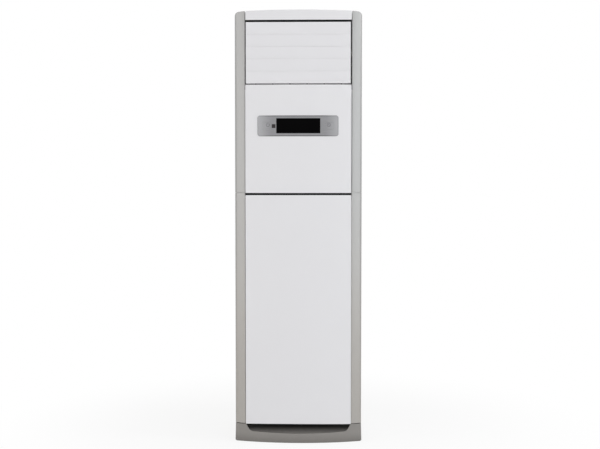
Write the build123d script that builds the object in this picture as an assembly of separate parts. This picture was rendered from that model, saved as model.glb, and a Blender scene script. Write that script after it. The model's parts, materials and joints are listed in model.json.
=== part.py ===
from build123d import *
from math import cos, radians, sin, sqrt
import os

# Floor standing air conditioner, indoor unit. Millimetres, +Z up, and the front faces -Y.
# The origin is on the floor, under the middle of the whole object's box.
os.makedirs("parts", exist_ok=True)

# Heights, from the floor up
plinth_height = 77.0
panel_gap = 2.5  # under the lower panel, and between the display panel and the blades
lower_panel_height = 972.5
middle_slit = 7.5
display_panel_height = 456.0
blade_count = 5
blade_pitch = 51.2
top_slit = 7.5
fascia_height = 43.5

# Widths, depths and the plan curves
overall_width = 540.0
overall_depth = 410.0
plinth_step = 2.0  # the plinth stands out this far past the cabinet, each side
plinth_proud = 16.0  # and this far in front of the panels, in the middle
plinth_bow_radius = 950.0
plinth_corner_radius = 9.0
panel_bow_radius = 6200.0
trim_width = 43.5
trim_gap = 2.0  # between a panel and the trims
trim_step_back = 2.0
trim_setback = 17.0  # the trims' outer corner lies this far behind their inner edge
trim_bulge = 1.5
trim_corner_radius = 13.0
trim_side_depth = 48.0
trim_seam = 1.0
seam_rise = 5.0  # the trims' seam lies this far above the slit's middle
upper_return = 5.0  # how far an upper trim's inner edge turns in
crown_radius = 5300.0  # the top's arc, seen from the front
top_corner_radius = 18.0

# Walls and clearances
plastic_wall = 2.5
plinth_wall = 3.0
side_sheet = 1.0
pan_sheet = 2.0
inner_sheet = 1.5
seat_gap = 0.5  # between clipped plastic parts
soft_gap = 0.3
running_gap = 0.05  # radial, round every pin and shaft
screw_clearance = 0.2
edge_radius = 1.2

# Side and rear panels
front_flange_depth = 33.0  # from the trims' front edge back to the side panels' front flanges
front_flange_width = 54.0
panel_lip = 20.0
cover_skirt = 35.0
intake_slot_length = 62.0
intake_slot_height = 6.0
intake_slot_pitch = 13.0
intake_rows = 36
intake_columns = 3
intake_column_pitch = 74.0
intake_bottom = 140.0
leg_height = 60.0
rear_screw_rows = 6
screw_radius = 1.9
screw_head_radius = 4.0
screw_head_height = 1.8
screw_reach = 2.5  # past the rear panel's inner face
screw_inset = 9.0

# Base pan, with its anchor holes
pan_side_inset = 14.0  # from the plinth's outside to the pan's flange
pan_front_inset = 55.0
pan_flange = 30.0
anchor_spacing_x = 400.0
anchor_spacing_y = 240.0
anchor_hole_radius = 5.5

# Finger scoop in the plinth
scoop_half_top = 222.0
scoop_half_bottom = 206.0
scoop_end_z = 45.0
scoop_middle_z = 38.8
scoop_depth = 46.0
scoop_floor = 4.0
scoop_corner_radius = 8.0

# Panels
panel_return = 14.0
panel_rib_width = 5.5
panel_rib_length = 400.0
hinge_drop = 10.0  # from the lower panel's top edge down to its hinge pins
hinge_set_in = 12.0  # and from its face back to them
hinge_pin_radius = 2.5

# Display
bezel_width = 338.0
bezel_height = 85.0
bezel_corner_radius = 10.0
bezel_centre_drop = 175.5  # below the display panel's top edge
bezel_proud = 1.5
bezel_flange = 1.4
bezel_overlap = 4.0
bezel_depth = 13.0
window_width = 181.0
window_height = 60.6
window_corner_radius = 1.5
window_thickness = 4.0
receiver_width = 14.0
receiver_height = 16.4
receiver_offset = 103.0
key_width = 34.0
key_height = 30.0
key_corner_radius = 6.0
key_offset = 132.0
key_gap = 0.3
key_travel = 1.0
key_back_gap = 0.4
board_width = 320.0
board_height = 70.0
board_thickness = 1.6
display_module_depth = 4.5

# Louvre blades, their cranks and tie bar
blade_seam = 0.8
blade_end_gap = 3.5
blade_thickness = 7.0
blade_edge = 2.5
blade_set_back = 2.5  # behind the panels' foremost line
blade_pivot_depth = 17.0
blade_pin_radius = 2.5
blade_web = 2.5
blade_web_height = 16.0
blade_boss_radius = 5.0
crank_length = 14.0
crank_thickness = 2.5
crank_radius = 4.0
crank_pin_radius = 2.0
crank_gap = 2.5  # between the outlet frame's wall and the cranks
bar_thickness = 3.0
bar_half_width = 4.0
bar_gap = 0.8
bar_overrun = 8.0
motor_can_radius = 12.0
motor_can_length = 12.0
motor_offset = 6.0
motor_ear = 6.0
blade_drive_reach = 8.4  # the middle blade's pin, into its motor

# Outlet frame and vertical vanes
frame_end_gap = 1.0
frame_depth = 105.0
frame_front_lip = 6.0
frame_top_gap = 8.0
frame_bottom_gap = 1.8
frame_back_gap = 1.0  # from the panels' returns back to the outlet frame
frame_cutout_drop = 36.0  # the side panels' flanges are cut away this far below the frame
ear_height = 18.0
ear_width = 22.0
vane_count = 6
vane_pivot_depth = 82.0  # behind the blades' faces
vane_front = 38.0
vane_rear = 24.0
vane_thickness = 2.0
vane_end_gap = 3.0
vane_pin_radius = 2.5
vane_notch_height = 22.0
vane_arm = 16.0
vane_notch_gap = 7.0
vane_rod_height = 3.0
vane_rod_half_width = 4.0
vane_rod_drop = 8.0
vane_motor_radius = 14.0
vane_motor_height = 18.0
vane_motor_index = 2
vane_motor_ear = 7.0
vane_drive_reach = 12.6  # the driven vane's pin, into its motor

# Air guide behind the outlet
guide_thickness = 6.0
guide_bulge = 62.0
guide_corner_z = 1560.0
guide_foot_z = 1352.0

# Filter and its rails
filter_side_room = 26.5  # from the filter's edge to the trims' inner edge
filter_bottom = 130.0
filter_height = 470.0
filter_thickness = 8.0
filter_border = 12.0
filter_rib = 2.5
filter_columns = 6
filter_rows = 7
filter_mesh = 0.8
rail_wall = 2.0
rail_grip = 7.0
rail_clearance = 0.4

# Blower, with its axis along Y
fan_x = -20.0
fan_z = 345.0
wheel_radius = 150.0
wheel_inner_radius = 124.0
wheel_depth = 140.0
wheel_blades = 36
wheel_plate = 2.0
wheel_ring_depth = 4.0
wheel_mouth_gap = 6.0  # from the scroll's front wall back to the wheel
blade_lean = 12.0  # degrees, each blade's tip ahead of its root
blade_sheet = 1.5
hub_radius = 20.0
hub_length = 42.0
shaft_radius = 6.0
shaft_fit = 0.02
scroll_depth = 155.0
scroll_wall = 2.0
scroll_start_radius = 166.0
scroll_end_radius = 232.0
scroll_tongue_angle = 115.0
scroll_foot_width = 60.0
scroll_foot_spread = 120.0
scroll_points = 12
inlet_radius = 126.0
throat_radius = 116.0
bell_depth = 14.0
bell_flare = 16.0
bell_shoulder_width = 11.2
bell_shoulder_depth = 3.5
bell_root = 4.0
fan_motor_radius = 62.0
fan_motor_length = 74.0
fan_motor_round = 4.0
motor_rear_gap = 19.0  # from the fan motor back to the rear panel
motor_gap = 14.0  # from the scroll back to the fan motor
shaft_into_motor = 26.0
bracket_ring = 9.0
bracket_ring_depth = 14.0
bracket_leg_radius = 5.0
bracket_legs = 4

# Deck between the blower and the coil
deck_z = 640.0
deck_flange = 15.0
deck_flange_setback = 40.0
discharge_margin = 6.0
pipe_notch_gap = 2.0

# Coil, tilted back, its pan and its pipes
coil_side_room = 63.0  # from the fins to the side panels, for the bends and the pipes
coil_length = 600.0
coil_thickness = 60.0
coil_middle_y = 30.0
coil_middle_z = 1006.0
coil_tilt = 18.8
fin_pitch = 10.0
fin_sheet = 1.0
tube_radius = 4.75
tube_wall = 0.7
tube_rows = 12
tube_pitch = 48.0
tube_row_gap = 30.0
end_plate_gap = 1.5
tube_overrun = 8.0
coil_leg_width = 80.0
coil_arm_height = 70.0
pan_front_y = -115.0
pan_depth = 75.0
pan_height = 58.0
pan_wall = 2.5
spigot_radius = 9.0
spigot_bore = 6.5
spigot_length = 26.0
gas_radius = 9.5
liquid_radius = 6.35
pipe_lead = 26.0  # from the coil's tube ends sideways to the gas pipe
liquid_side_gap = 5.15  # from the liquid pipe to the side panel
gas_rear_gap = 14.5  # from the gas pipe to the rear panel
liquid_rear_gap = 45.65
pipe_exit_rise = 20.0  # the gas pipe ends this far above the port's middle, the liquid pipe below
pipe_bend = 19.0
nut_length = 18.0
nut_over = 6.0

# Openings in the rear panel
port_inset = 76.0  # from the side panel's inner face to the port's middle
port_z = 170.0
port_radius = 45.0
grommet_wall = 3.0
grommet_depth = 10.0
grommet_lip = 6.0
gland_inset = 76.0
gland_z = 190.0
gland_radius = 10.0
gland_bore = 6.5
gland_length = 24.0
gland_lip = 4.0

# Wall bracket at the top of the rear panel
bracket_sheet = 2.0
bracket_half_width = 95.0
bracket_bottom = 1660.0
bracket_height = 46.0
bracket_hole_spacing = 150.0
bracket_hole_radius = 3.5
tongue_width = 24.0
tongue_length = 12.0
tongue_spacing = 80.0
tongue_lip = 8.0

# Electrical box
box_half_width = 175.0
box_bottom = 700.0
box_height = 300.0
box_depth = 40.0
box_ear_height = 40.0
control_board_width = 200.0
control_board_height = 180.0
control_board_x = -50.0
standoff = 6.0
standoff_radius = 3.0
relay_count = 4
relay_size = 16.0
relay_pitch = 32.0
relay_height = 32.0
terminal_ways = 6
terminal_pitch = 12.0
terminal_height = 26.0
terminal_depth = 18.0
terminal_screw_radius = 4.0
terminal_screw_depth = 9.0
terminal_x = 115.0

# Cross bar behind the middle slit
bar_front_gap = 24.0
bar_height = 40.0

# Places worked out from the sizes
overall_height = (
    plinth_height + panel_gap + lower_panel_height + middle_slit + display_panel_height
    + panel_gap + blade_count * blade_pitch + top_slit + fascia_height
)
front_y = -overall_depth / 2
rear_y = overall_depth / 2
plinth_half = overall_width / 2
body_half = plinth_half - plinth_step
trim_inner_x = body_half - trim_width
panel_half = trim_inner_x - trim_gap
blade_half = panel_half - blade_end_gap
panel_front_y = front_y + plinth_proud
lower_panel_z = plinth_height + panel_gap
lower_panel_top = lower_panel_z + lower_panel_height
display_panel_z = lower_panel_top + middle_slit
display_panel_top = display_panel_z + display_panel_height
blades_z = display_panel_top + panel_gap
blades_top = blades_z + blade_count * blade_pitch
fascia_z = blades_top + top_slit
slit_middle_z = lower_panel_top + middle_slit / 2


def bow_depth(x, radius):
    return radius - sqrt(radius**2 - x**2)


panel_edge_y = panel_front_y + bow_depth(panel_half, panel_bow_radius)
trim_front_y = panel_edge_y + trim_step_back
trim_corner_y = trim_front_y + trim_setback
trim_rear_y = trim_corner_y + trim_side_depth
flange_y = trim_front_y + front_flange_depth
side_outer_x = body_half - side_sheet
side_inner_x = side_outer_x - side_sheet
jog_outer_x = body_half - plastic_wall - seat_gap
rear_outer_y = rear_y - bracket_sheet
rear_inner_y = rear_outer_y - side_sheet
side_top_z = overall_height - cover_skirt - seat_gap
pan_half = plinth_half - pan_side_inset
blade_front_y = panel_front_y + blade_set_back
blade_pivot_y = blade_front_y + blade_pivot_depth
frame_inner_x = blade_half + frame_end_gap
frame_outer_x = frame_inner_x + plastic_wall
frame_front_y = panel_front_y + panel_return + frame_back_gap
frame_rear_y = frame_front_y + frame_depth
frame_bottom_z = blades_z - frame_bottom_gap
frame_top_z = blades_top + frame_top_gap
vane_pivot_y = blade_front_y + vane_pivot_depth
vane_pitch = 2 * frame_inner_x / vane_count
vane_bottom_z = frame_bottom_z + vane_end_gap
vane_top_z = frame_top_z - vane_end_gap
filter_y = flange_y + side_sheet
filter_half_width = trim_inner_x - filter_side_room
fan_motor_y = rear_inner_y - motor_rear_gap - fan_motor_length
scroll_rear_y = fan_motor_y - motor_gap
scroll_front_y = scroll_rear_y - scroll_depth
wheel_front_y = scroll_front_y + scroll_wall + wheel_mouth_gap
deck_top = deck_z + inner_sheet
coil_half_width = side_inner_x - coil_side_room
tube_end_x = coil_half_width + end_plate_gap + inner_sheet + tube_overrun
gas_pipe_x = tube_end_x + pipe_lead
liquid_pipe_x = side_inner_x - liquid_side_gap - liquid_radius
gas_pipe_y = rear_inner_y - gas_rear_gap - gas_radius
liquid_pipe_y = rear_inner_y - liquid_rear_gap - liquid_radius
port_x = side_inner_x - port_inset
gland_x = gland_inset - side_inner_x
gas_exit_z = port_z + pipe_exit_rise
liquid_exit_z = port_z - pipe_exit_rise
bezel_z = display_panel_top - bezel_centre_drop
hinge_z = lower_panel_top - hinge_drop
hinge_y = panel_front_y + hinge_set_in
board_front_y = panel_front_y + bezel_depth


def block(x0, x1, y0, y1, z0, z1):
    middle = ((x0 + x1) / 2, (y0 + y1) / 2, (z0 + z1) / 2)
    return Pos(*middle) * Box(abs(x1 - x0), abs(y1 - y0), abs(z1 - z0))


def rod_x(y, z, radius, x0, x1):
    return Pos((x0 + x1) / 2, y, z) * Rot(0, 90, 0) * Cylinder(radius, abs(x1 - x0))


def rod_y(x, z, radius, y0, y1):
    return Pos(x, (y0 + y1) / 2, z) * Rot(90, 0, 0) * Cylinder(radius, abs(y1 - y0))


def rod_z(x, y, radius, z0, z1):
    return Pos(x, y, (z0 + z1) / 2) * Cylinder(radius, abs(z1 - z0))


def face_of(*lines):
    return make_face([edge for line in lines for edge in line.edges()])


def both_sides(shape):
    return shape + mirror(shape, Plane.YZ)


def bowed_block(half, centre_y, back_y, bow_radius, z0, z1):
    """A block whose front is an arc in plan."""
    edge_y = centre_y + bow_depth(half, bow_radius)
    arc = ThreePointArc((-half, edge_y), (0, centre_y), (half, edge_y))
    rest = Polyline((half, edge_y), (half, back_y), (-half, back_y), (-half, edge_y))
    return Pos(0, 0, z0) * extrude(face_of(arc, rest), z1 - z0, dir=(0, 0, 1))


def rounded_plate(width, height, radius, x, z, y0, y1):
    """A rounded rectangle seen from the front, from y0 back to y1."""
    outline = Plane.XZ * Pos(x, z) * RectangleRounded(width, height, radius)
    return Pos(0, y0, 0) * extrude(outline, y1 - y0, dir=(0, 1, 0))


def elevation_solid(inset):
    """The front outline below the crowned top, with its rounded upper corners."""
    half = body_half - inset
    top = overall_height - inset
    corner_z = top - bow_depth(half, crown_radius)
    arc = ThreePointArc((-half, corner_z), (0, top), (half, corner_z))
    rest = Polyline((half, corner_z), (half, -inset), (-half, -inset), (-half, corner_z))
    outline = face_of(arc, rest)
    corners = outline.vertices().sort_by(Axis.Y)[-2:]
    outline = fillet(corners, top_corner_radius - inset)
    return extrude(Plane.XZ * outline, overall_depth, both=True)


def panel_shell(z0, z1):
    """A bowed front panel, open at the back."""
    outer = bowed_block(panel_half, panel_front_y, panel_front_y + panel_return,
                        panel_bow_radius, z0, z1)
    front = outer.faces().filter_by(GeomType.CYLINDER)[0]
    outer = fillet(front.edges(), edge_radius)
    inner = bowed_block(panel_half - plastic_wall, panel_front_y + plastic_wall,
                        panel_front_y + panel_return + seat_gap, panel_bow_radius,
                        z0 + plastic_wall, z1 - plastic_wall)
    return outer - inner


def trim_outline():
    """Plan of the right-hand trim: a raked front, a rounded corner and a straight side."""
    inner = (trim_inner_x, trim_front_y)
    corner = (body_half, trim_corner_y)
    run = (corner[0] - inner[0], corner[1] - inner[1])
    length = sqrt(run[0] ** 2 + run[1] ** 2)
    middle = ((inner[0] + corner[0]) / 2 + trim_bulge * run[1] / length,
              (inner[1] + corner[1]) / 2 - trim_bulge * run[0] / length)
    front = ThreePointArc(inner, middle, corner)
    rest = Polyline(corner, (body_half, trim_rear_y), (trim_inner_x, trim_rear_y), inner)
    outline = face_of(front, rest)
    outer_corner = outline.vertices().sort_by_distance((*corner, 0))[0]
    return fillet(outer_corner, trim_corner_radius)


def trim(z0, z1, return_y, open_to):
    """A trim from z0 to z1. Its inner edge turns in as far as return_y, below open_to."""
    outline = trim_outline()
    outer = Pos(0, 0, z0) * extrude(outline, z1 - z0, dir=(0, 0, 1))
    outer = outer & elevation_solid(0)
    cavity_z = z0 + plastic_wall
    cavity_top = z1 if z1 > side_top_z else z1 - plastic_wall
    hollow = offset(outline, -plastic_wall)
    cavity = Pos(0, 0, cavity_z) * extrude(hollow, cavity_top - cavity_z, dir=(0, 0, 1))
    cavity += block(trim_inner_x + plastic_wall, body_half - plastic_wall,
                    trim_corner_y + trim_corner_radius, trim_rear_y + 1,
                    cavity_z, cavity_top)
    cavity = cavity & elevation_solid(plastic_wall)
    back = block(trim_inner_x - 1, body_half - plastic_wall, return_y, trim_rear_y + 1,
                 z0 - 1, open_to)
    return outer - cavity - back


def lower_trim():
    top = slit_middle_z + seam_rise - trim_seam / 2
    piece = trim(plinth_height + seat_gap, top, flange_y, top + 1)
    bore = rod_x(hinge_y, hinge_z, hinge_pin_radius + running_gap,
                 trim_inner_x - 1, trim_inner_x + plastic_wall + 1)
    return piece - bore


def upper_trim():
    bottom = slit_middle_z + seam_rise + trim_seam / 2
    return trim(bottom, overall_height, trim_front_y + upper_return, side_top_z + 1)


def top_cover():
    front = flange_y
    outer = block(-body_half, body_half, trim_rear_y + seat_gap, rear_outer_y,
                  overall_height - cover_skirt, overall_height)
    tongue_half = trim_inner_x - seat_gap
    outer += block(-tongue_half, tongue_half, front, trim_rear_y + seat_gap,
                   overall_height - cover_skirt, overall_height)
    outer = outer & elevation_solid(0)
    wall = plastic_wall
    inner = block(-body_half + wall, body_half - wall, trim_rear_y + seat_gap + wall,
                  rear_outer_y - wall, side_top_z - 1, overall_height)
    inner += block(-tongue_half + wall, tongue_half - wall, front + wall,
                   rear_outer_y - wall, side_top_z - 1, overall_height)
    return outer - (inner & elevation_solid(wall))


def top_fascia():
    back_y = flange_y - seat_gap
    outer = bowed_block(panel_half, panel_front_y, back_y, panel_bow_radius,
                        fascia_z, overall_height)
    outer = outer & elevation_solid(0)
    wall = plastic_wall
    inner = bowed_block(panel_half - wall, panel_front_y + wall, back_y + 1,
                        panel_bow_radius, fascia_z + wall, overall_height)
    under = block(-panel_half - 1, panel_half + 1, panel_front_y + panel_return, back_y + 1,
                  fascia_z - 1, frame_top_z + plastic_wall + vane_motor_height + wall)
    return outer - (inner & elevation_solid(wall)) - under


def lower_panel():
    shell = panel_shell(lower_panel_z, lower_panel_top)
    pin = rod_x(hinge_y, hinge_z, hinge_pin_radius, panel_half - plastic_wall,
                trim_inner_x + plastic_wall)
    return shell + both_sides(pin)


def bezel_opening(extra):
    return rounded_plate(bezel_width - 2 * bezel_overlap + extra,
                         bezel_height - 2 * bezel_overlap + extra,
                         bezel_corner_radius - bezel_overlap / 2, 0, bezel_z,
                         panel_front_y - 1, board_front_y)


def display_panel():
    shell = panel_shell(display_panel_z, display_panel_top)
    middle = (display_panel_z + display_panel_top) / 2
    rib = block(panel_half - panel_rib_width, panel_half,
                panel_edge_y + plastic_wall, flange_y,
                middle - panel_rib_length / 2, middle + panel_rib_length / 2)
    return shell + both_sides(rib) - bezel_opening(0)


def key_hole(side, gap):
    return rounded_plate(key_width + 2 * gap, key_height + 2 * gap,
                         key_corner_radius + gap, side * key_offset, bezel_z,
                         panel_front_y - bezel_proud - 1, board_front_y + 1)


def bezel_front(proud, back_y):
    """A layer that follows the panels' plan curve, in front of back_y."""
    return bowed_block(bezel_width / 2 + 1, panel_front_y - proud, back_y, panel_bow_radius,
                       bezel_z - bezel_height, bezel_z + bezel_height)


def display_bezel():
    outline = rounded_plate(bezel_width, bezel_height, bezel_corner_radius, 0, bezel_z,
                            panel_front_y - bezel_proud - 1, board_front_y)
    behind = bezel_front(bezel_proud - bezel_flange, board_front_y + 1)
    flange = (outline & bezel_front(bezel_proud, board_front_y)) - behind
    body = bezel_opening(-2 * key_gap) & bezel_front(bezel_proud - bezel_flange / 2, board_front_y)
    window = rounded_plate(window_width, window_height, window_corner_radius, 0, bezel_z,
                           panel_front_y - bezel_proud - 1, board_front_y + 1)
    receiver = block(-receiver_offset - receiver_width / 2, -receiver_offset + receiver_width / 2,
                     panel_front_y - bezel_proud - 1, board_front_y + 1,
                     bezel_z - receiver_height / 2, bezel_z + receiver_height / 2)
    return flange + body - window - receiver - key_hole(-1, key_gap) - key_hole(1, key_gap)


def display_window():
    plate = rounded_plate(window_width - 2 * key_gap, window_height - 2 * key_gap,
                          window_corner_radius, 0, bezel_z,
                          panel_front_y - bezel_proud - 1, panel_front_y + window_thickness)
    return plate & bezel_front(bezel_proud - key_gap, board_front_y)


def ir_receiver():
    half = receiver_width / 2 - key_gap
    lens = block(-receiver_offset - half, -receiver_offset + half,
                 panel_front_y - bezel_proud - 1, board_front_y,
                 bezel_z - receiver_height / 2 + key_gap,
                 bezel_z + receiver_height / 2 - key_gap)
    return lens & bezel_front(bezel_proud - key_gap, board_front_y)


def display_board():
    board = block(-board_width / 2, board_width / 2, board_front_y,
                  board_front_y + board_thickness,
                  bezel_z - board_height / 2, bezel_z + board_height / 2)
    module_half = window_width / 2 - plastic_wall
    module = block(-module_half, module_half, board_front_y - display_module_depth,
                   board_front_y, bezel_z - window_height / 2 + plastic_wall,
                   bezel_z + window_height / 2 - plastic_wall)
    return board + module


def display_key(side):
    cap = key_hole(side, 0) & bezel_front(bezel_proud, board_front_y)
    behind = block(-bezel_width, bezel_width, board_front_y - key_travel - key_back_gap,
                   board_front_y + 1, bezel_z - bezel_height, bezel_z + bezel_height)
    return cap - behind


def plinth_outline(inset, z0, z1):
    half = plinth_half - inset
    body = bowed_block(half, front_y + inset, rear_outer_y, plinth_bow_radius - inset, z0, z1)
    front_corners = body.edges().filter_by(Axis.Z).sort_by(Axis.Y)[:2]
    return fillet(front_corners, plinth_corner_radius - inset)


def scoop_shape():
    """The finger scoop from the front: slanted ends, and a lip that is lowest in the middle."""
    end_x = scoop_half_bottom - scoop_corner_radius
    lip = ThreePointArc((-end_x, scoop_end_z), (0, scoop_middle_z), (end_x, scoop_end_z))
    rise = scoop_end_z + scoop_corner_radius
    round_in = scoop_corner_radius * cos(radians(45))
    rounds = [ThreePointArc((side * end_x, scoop_end_z),
                            (side * (end_x + round_in), rise - round_in),
                            (side * scoop_half_bottom, rise)) for side in (-1, 1)]
    rest = Polyline((scoop_half_bottom, rise), (scoop_half_top, plinth_height),
                    (scoop_half_top, plinth_height + 1), (-scoop_half_top, plinth_height + 1),
                    (-scoop_half_top, plinth_height), (-scoop_half_bottom, rise))
    outline = Plane.XZ * face_of(lip, *rounds, rest)
    return Pos(0, front_y - 1, 0) * extrude(outline, scoop_depth + 1, dir=(0, 1, 0))


def plinth_cover():
    shell = plinth_outline(0, 0, plinth_height)
    shell -= plinth_outline(plinth_wall, -1, plinth_height - plinth_wall)
    ledge_half = pan_half + side_sheet + soft_gap
    shell -= block(-ledge_half, ledge_half, flange_y - side_sheet, rear_outer_y + 1, -1,
                   plinth_height + 1)
    pocket = block(-scoop_half_top - plinth_wall, scoop_half_top + plinth_wall,
                   front_y - 1, front_y + scoop_depth + plinth_wall,
                   scoop_middle_z - scoop_floor, plinth_height)
    shell += pocket & plinth_outline(0, 0, plinth_height)
    return shell - scoop_shape()


def base_pan():
    front = front_y + pan_front_inset
    pan = block(-pan_half, pan_half, front, rear_inner_y, 0, pan_flange)
    pan -= block(-pan_half + pan_sheet, pan_half - pan_sheet, front + pan_sheet,
                 rear_inner_y - pan_sheet, pan_sheet, pan_flange + 1)
    for x in (-anchor_spacing_x / 2, anchor_spacing_x / 2):
        for y in (-anchor_spacing_y / 2, anchor_spacing_y / 2):
            pan -= rod_z(x, y, anchor_hole_radius, -1, pan_sheet + 1)
    return pan


def rear_screw_places():
    rise = (side_top_z - plinth_height - 2 * panel_lip) / (rear_screw_rows - 1)
    heights = [plinth_height + panel_lip + row * rise for row in range(rear_screw_rows)]
    x = side_inner_x - screw_inset
    return [(side * x, z) for side in (-1, 1) for z in heights]


def screw_holes(extra):
    front = rear_inner_y - screw_reach - seat_gap
    holes = [rod_y(x, z, screw_radius + extra, front, rear_outer_y + 1)
             for x, z in rear_screw_places()]
    return Compound(children=holes)


def side_panel():
    """The right-hand side panel: a bent sheet with its intake slots."""
    t = side_sheet
    z0, z1 = plinth_height, side_top_z
    wall_front = trim_rear_y + t
    panel = block(side_inner_x, side_outer_x, wall_front, rear_inner_y, z0, z1)
    panel += block(jog_outer_x - t, side_outer_x, wall_front, wall_front + t, z0, z1)
    panel += block(jog_outer_x - t, jog_outer_x, flange_y, wall_front + t, z0, z1)
    panel += block(side_outer_x - front_flange_width, jog_outer_x, flange_y, flange_y + t, z0, z1)
    panel += block(side_inner_x - panel_lip, side_inner_x, rear_inner_y - t, rear_inner_y, z0, z1)
    panel += block(side_inner_x - panel_lip, side_inner_x, wall_front + t, rear_inner_y, z1 - t, z1)
    panel += block(pan_half, side_inner_x, wall_front + t, rear_inner_y, z0, z0 + t)
    panel += block(pan_half, pan_half + t, wall_front + t, rear_inner_y, z0 - leg_height, z0 + t)
    frame_room = frame_outer_x + soft_gap
    panel -= block(0, frame_room, flange_y - 1, flange_y + t + 1,
                   frame_bottom_z - frame_cutout_drop, z1 + 1)
    slots = [Pos(side_inner_x, (column - (intake_columns - 1) / 2) * intake_column_pitch,
                 intake_bottom + row * intake_slot_pitch) * Rot(0, 90, 0) * Rot(0, 0, 90)
             * extrude(SlotOverall(intake_slot_length, intake_slot_height), 2 * t, both=True)
             for column in range(intake_columns) for row in range(intake_rows)]
    holes = [hole for hole in screw_holes(screw_clearance).solids() if hole.center().X > 0]
    return panel - slots - holes


def rear_panel():
    half = side_inner_x - seat_gap
    panel = block(-half, half, rear_inner_y, rear_outer_y, plinth_height, side_top_z)
    panel += block(-pan_half, pan_half, rear_inner_y, rear_outer_y, panel_gap, plinth_height)
    panel -= rod_y(port_x, port_z, port_radius, rear_inner_y - 1, rear_outer_y + 1)
    panel -= rod_y(gland_x, gland_z, gland_radius, rear_inner_y - 1, rear_outer_y + 1)
    for side in (-1, 1):
        x = side * tongue_spacing / 2
        slot_half = tongue_width / 2 + seat_gap
        z = bracket_bottom + bracket_height / 2
        panel -= block(x - slot_half, x + slot_half, rear_inner_y - 1, rear_outer_y + 1,
                       z - seat_gap, z + bracket_sheet + tongue_lip + seat_gap)
    holes = screw_holes(screw_clearance).solids()
    return panel - list(holes)


def panel_screws():
    screws = []
    for x, z in rear_screw_places():
        head = rod_y(x, z, screw_head_radius, rear_outer_y, rear_outer_y + screw_head_height)
        shank = rod_y(x, z, screw_radius, rear_inner_y - screw_reach, rear_outer_y)
        screws.append(head + shank)
    return Compound(children=screws)


def wall_bracket():
    plate = block(-bracket_half_width, bracket_half_width, rear_outer_y, rear_y,
                  bracket_bottom, bracket_bottom + bracket_height)
    z = bracket_bottom + bracket_height / 2
    for side in (-1, 1):
        plate -= rod_y(side * bracket_hole_spacing / 2, z, bracket_hole_radius,
                       rear_outer_y - 1, rear_y + 1)
        x = side * tongue_spacing / 2
        inner = rear_inner_y - tongue_length
        plate += block(x - tongue_width / 2, x + tongue_width / 2, inner, rear_outer_y,
                       z, z + bracket_sheet)
        plate += block(x - tongue_width / 2, x + tongue_width / 2, inner, inner + bracket_sheet,
                       z, z + bracket_sheet + tongue_lip)
    return plate


def pipe_grommet():
    radius = port_radius - soft_gap
    ring = rod_y(port_x, port_z, radius, rear_inner_y - grommet_depth, rear_outer_y)
    ring += rod_y(port_x, port_z, radius + grommet_lip, rear_inner_y - grommet_wall,
                  rear_inner_y)
    return ring - rod_y(port_x, port_z, radius - grommet_wall,
                        rear_inner_y - grommet_depth - 1, rear_outer_y + 1)


def cable_gland():
    body = rod_y(gland_x, gland_z, gland_radius - soft_gap, rear_inner_y - gland_length,
                 rear_outer_y)
    body += rod_y(gland_x, gland_z, gland_radius + gland_lip, rear_inner_y - grommet_wall,
                  rear_inner_y)
    return body - rod_y(gland_x, gland_z, gland_bore, rear_inner_y - gland_length - 1,
                        rear_outer_y + 1)


def cross_bar():
    y = panel_front_y + bar_front_gap
    half = side_outer_x - front_flange_width + panel_lip / 2
    return block(-half, half, y, flange_y, slit_middle_z - bar_height / 2,
                 slit_middle_z + bar_height / 2)


def outlet_frame():
    wall = plastic_wall
    bottom, top = frame_bottom_z - wall, frame_top_z + wall
    side = block(frame_inner_x, frame_outer_x, frame_front_y, frame_rear_y, bottom, top)
    side += block(frame_inner_x, frame_outer_x, frame_front_y - frame_front_lip, frame_front_y,
                  frame_bottom_z, fascia_z - seat_gap)
    frame = both_sides(side)
    frame += block(-frame_outer_x, frame_outer_x, frame_front_y, frame_rear_y, bottom,
                   frame_bottom_z)
    frame += block(-frame_outer_x, frame_outer_x, frame_front_y, frame_rear_y, frame_top_z, top)
    frame += both_sides(block(frame_inner_x, frame_outer_x + ear_width, flange_y - wall,
                              flange_y, bottom - ear_height, bottom + wall))
    for index in range(blade_count):
        frame -= rod_x(blade_pivot_y, blade_axis_z(index), blade_pin_radius + running_gap,
                       -frame_outer_x - 1, frame_outer_x + 1)
    for index in range(vane_count):
        frame -= rod_z(vane_x(index), vane_pivot_y, vane_pin_radius + running_gap,
                       bottom - 1, top + 1)
    return frame


def blade_axis_z(index):
    return blades_z + (index + 0.5) * blade_pitch


def vane_x(index):
    return (index - (vane_count - 1) / 2) * vane_pitch


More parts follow.
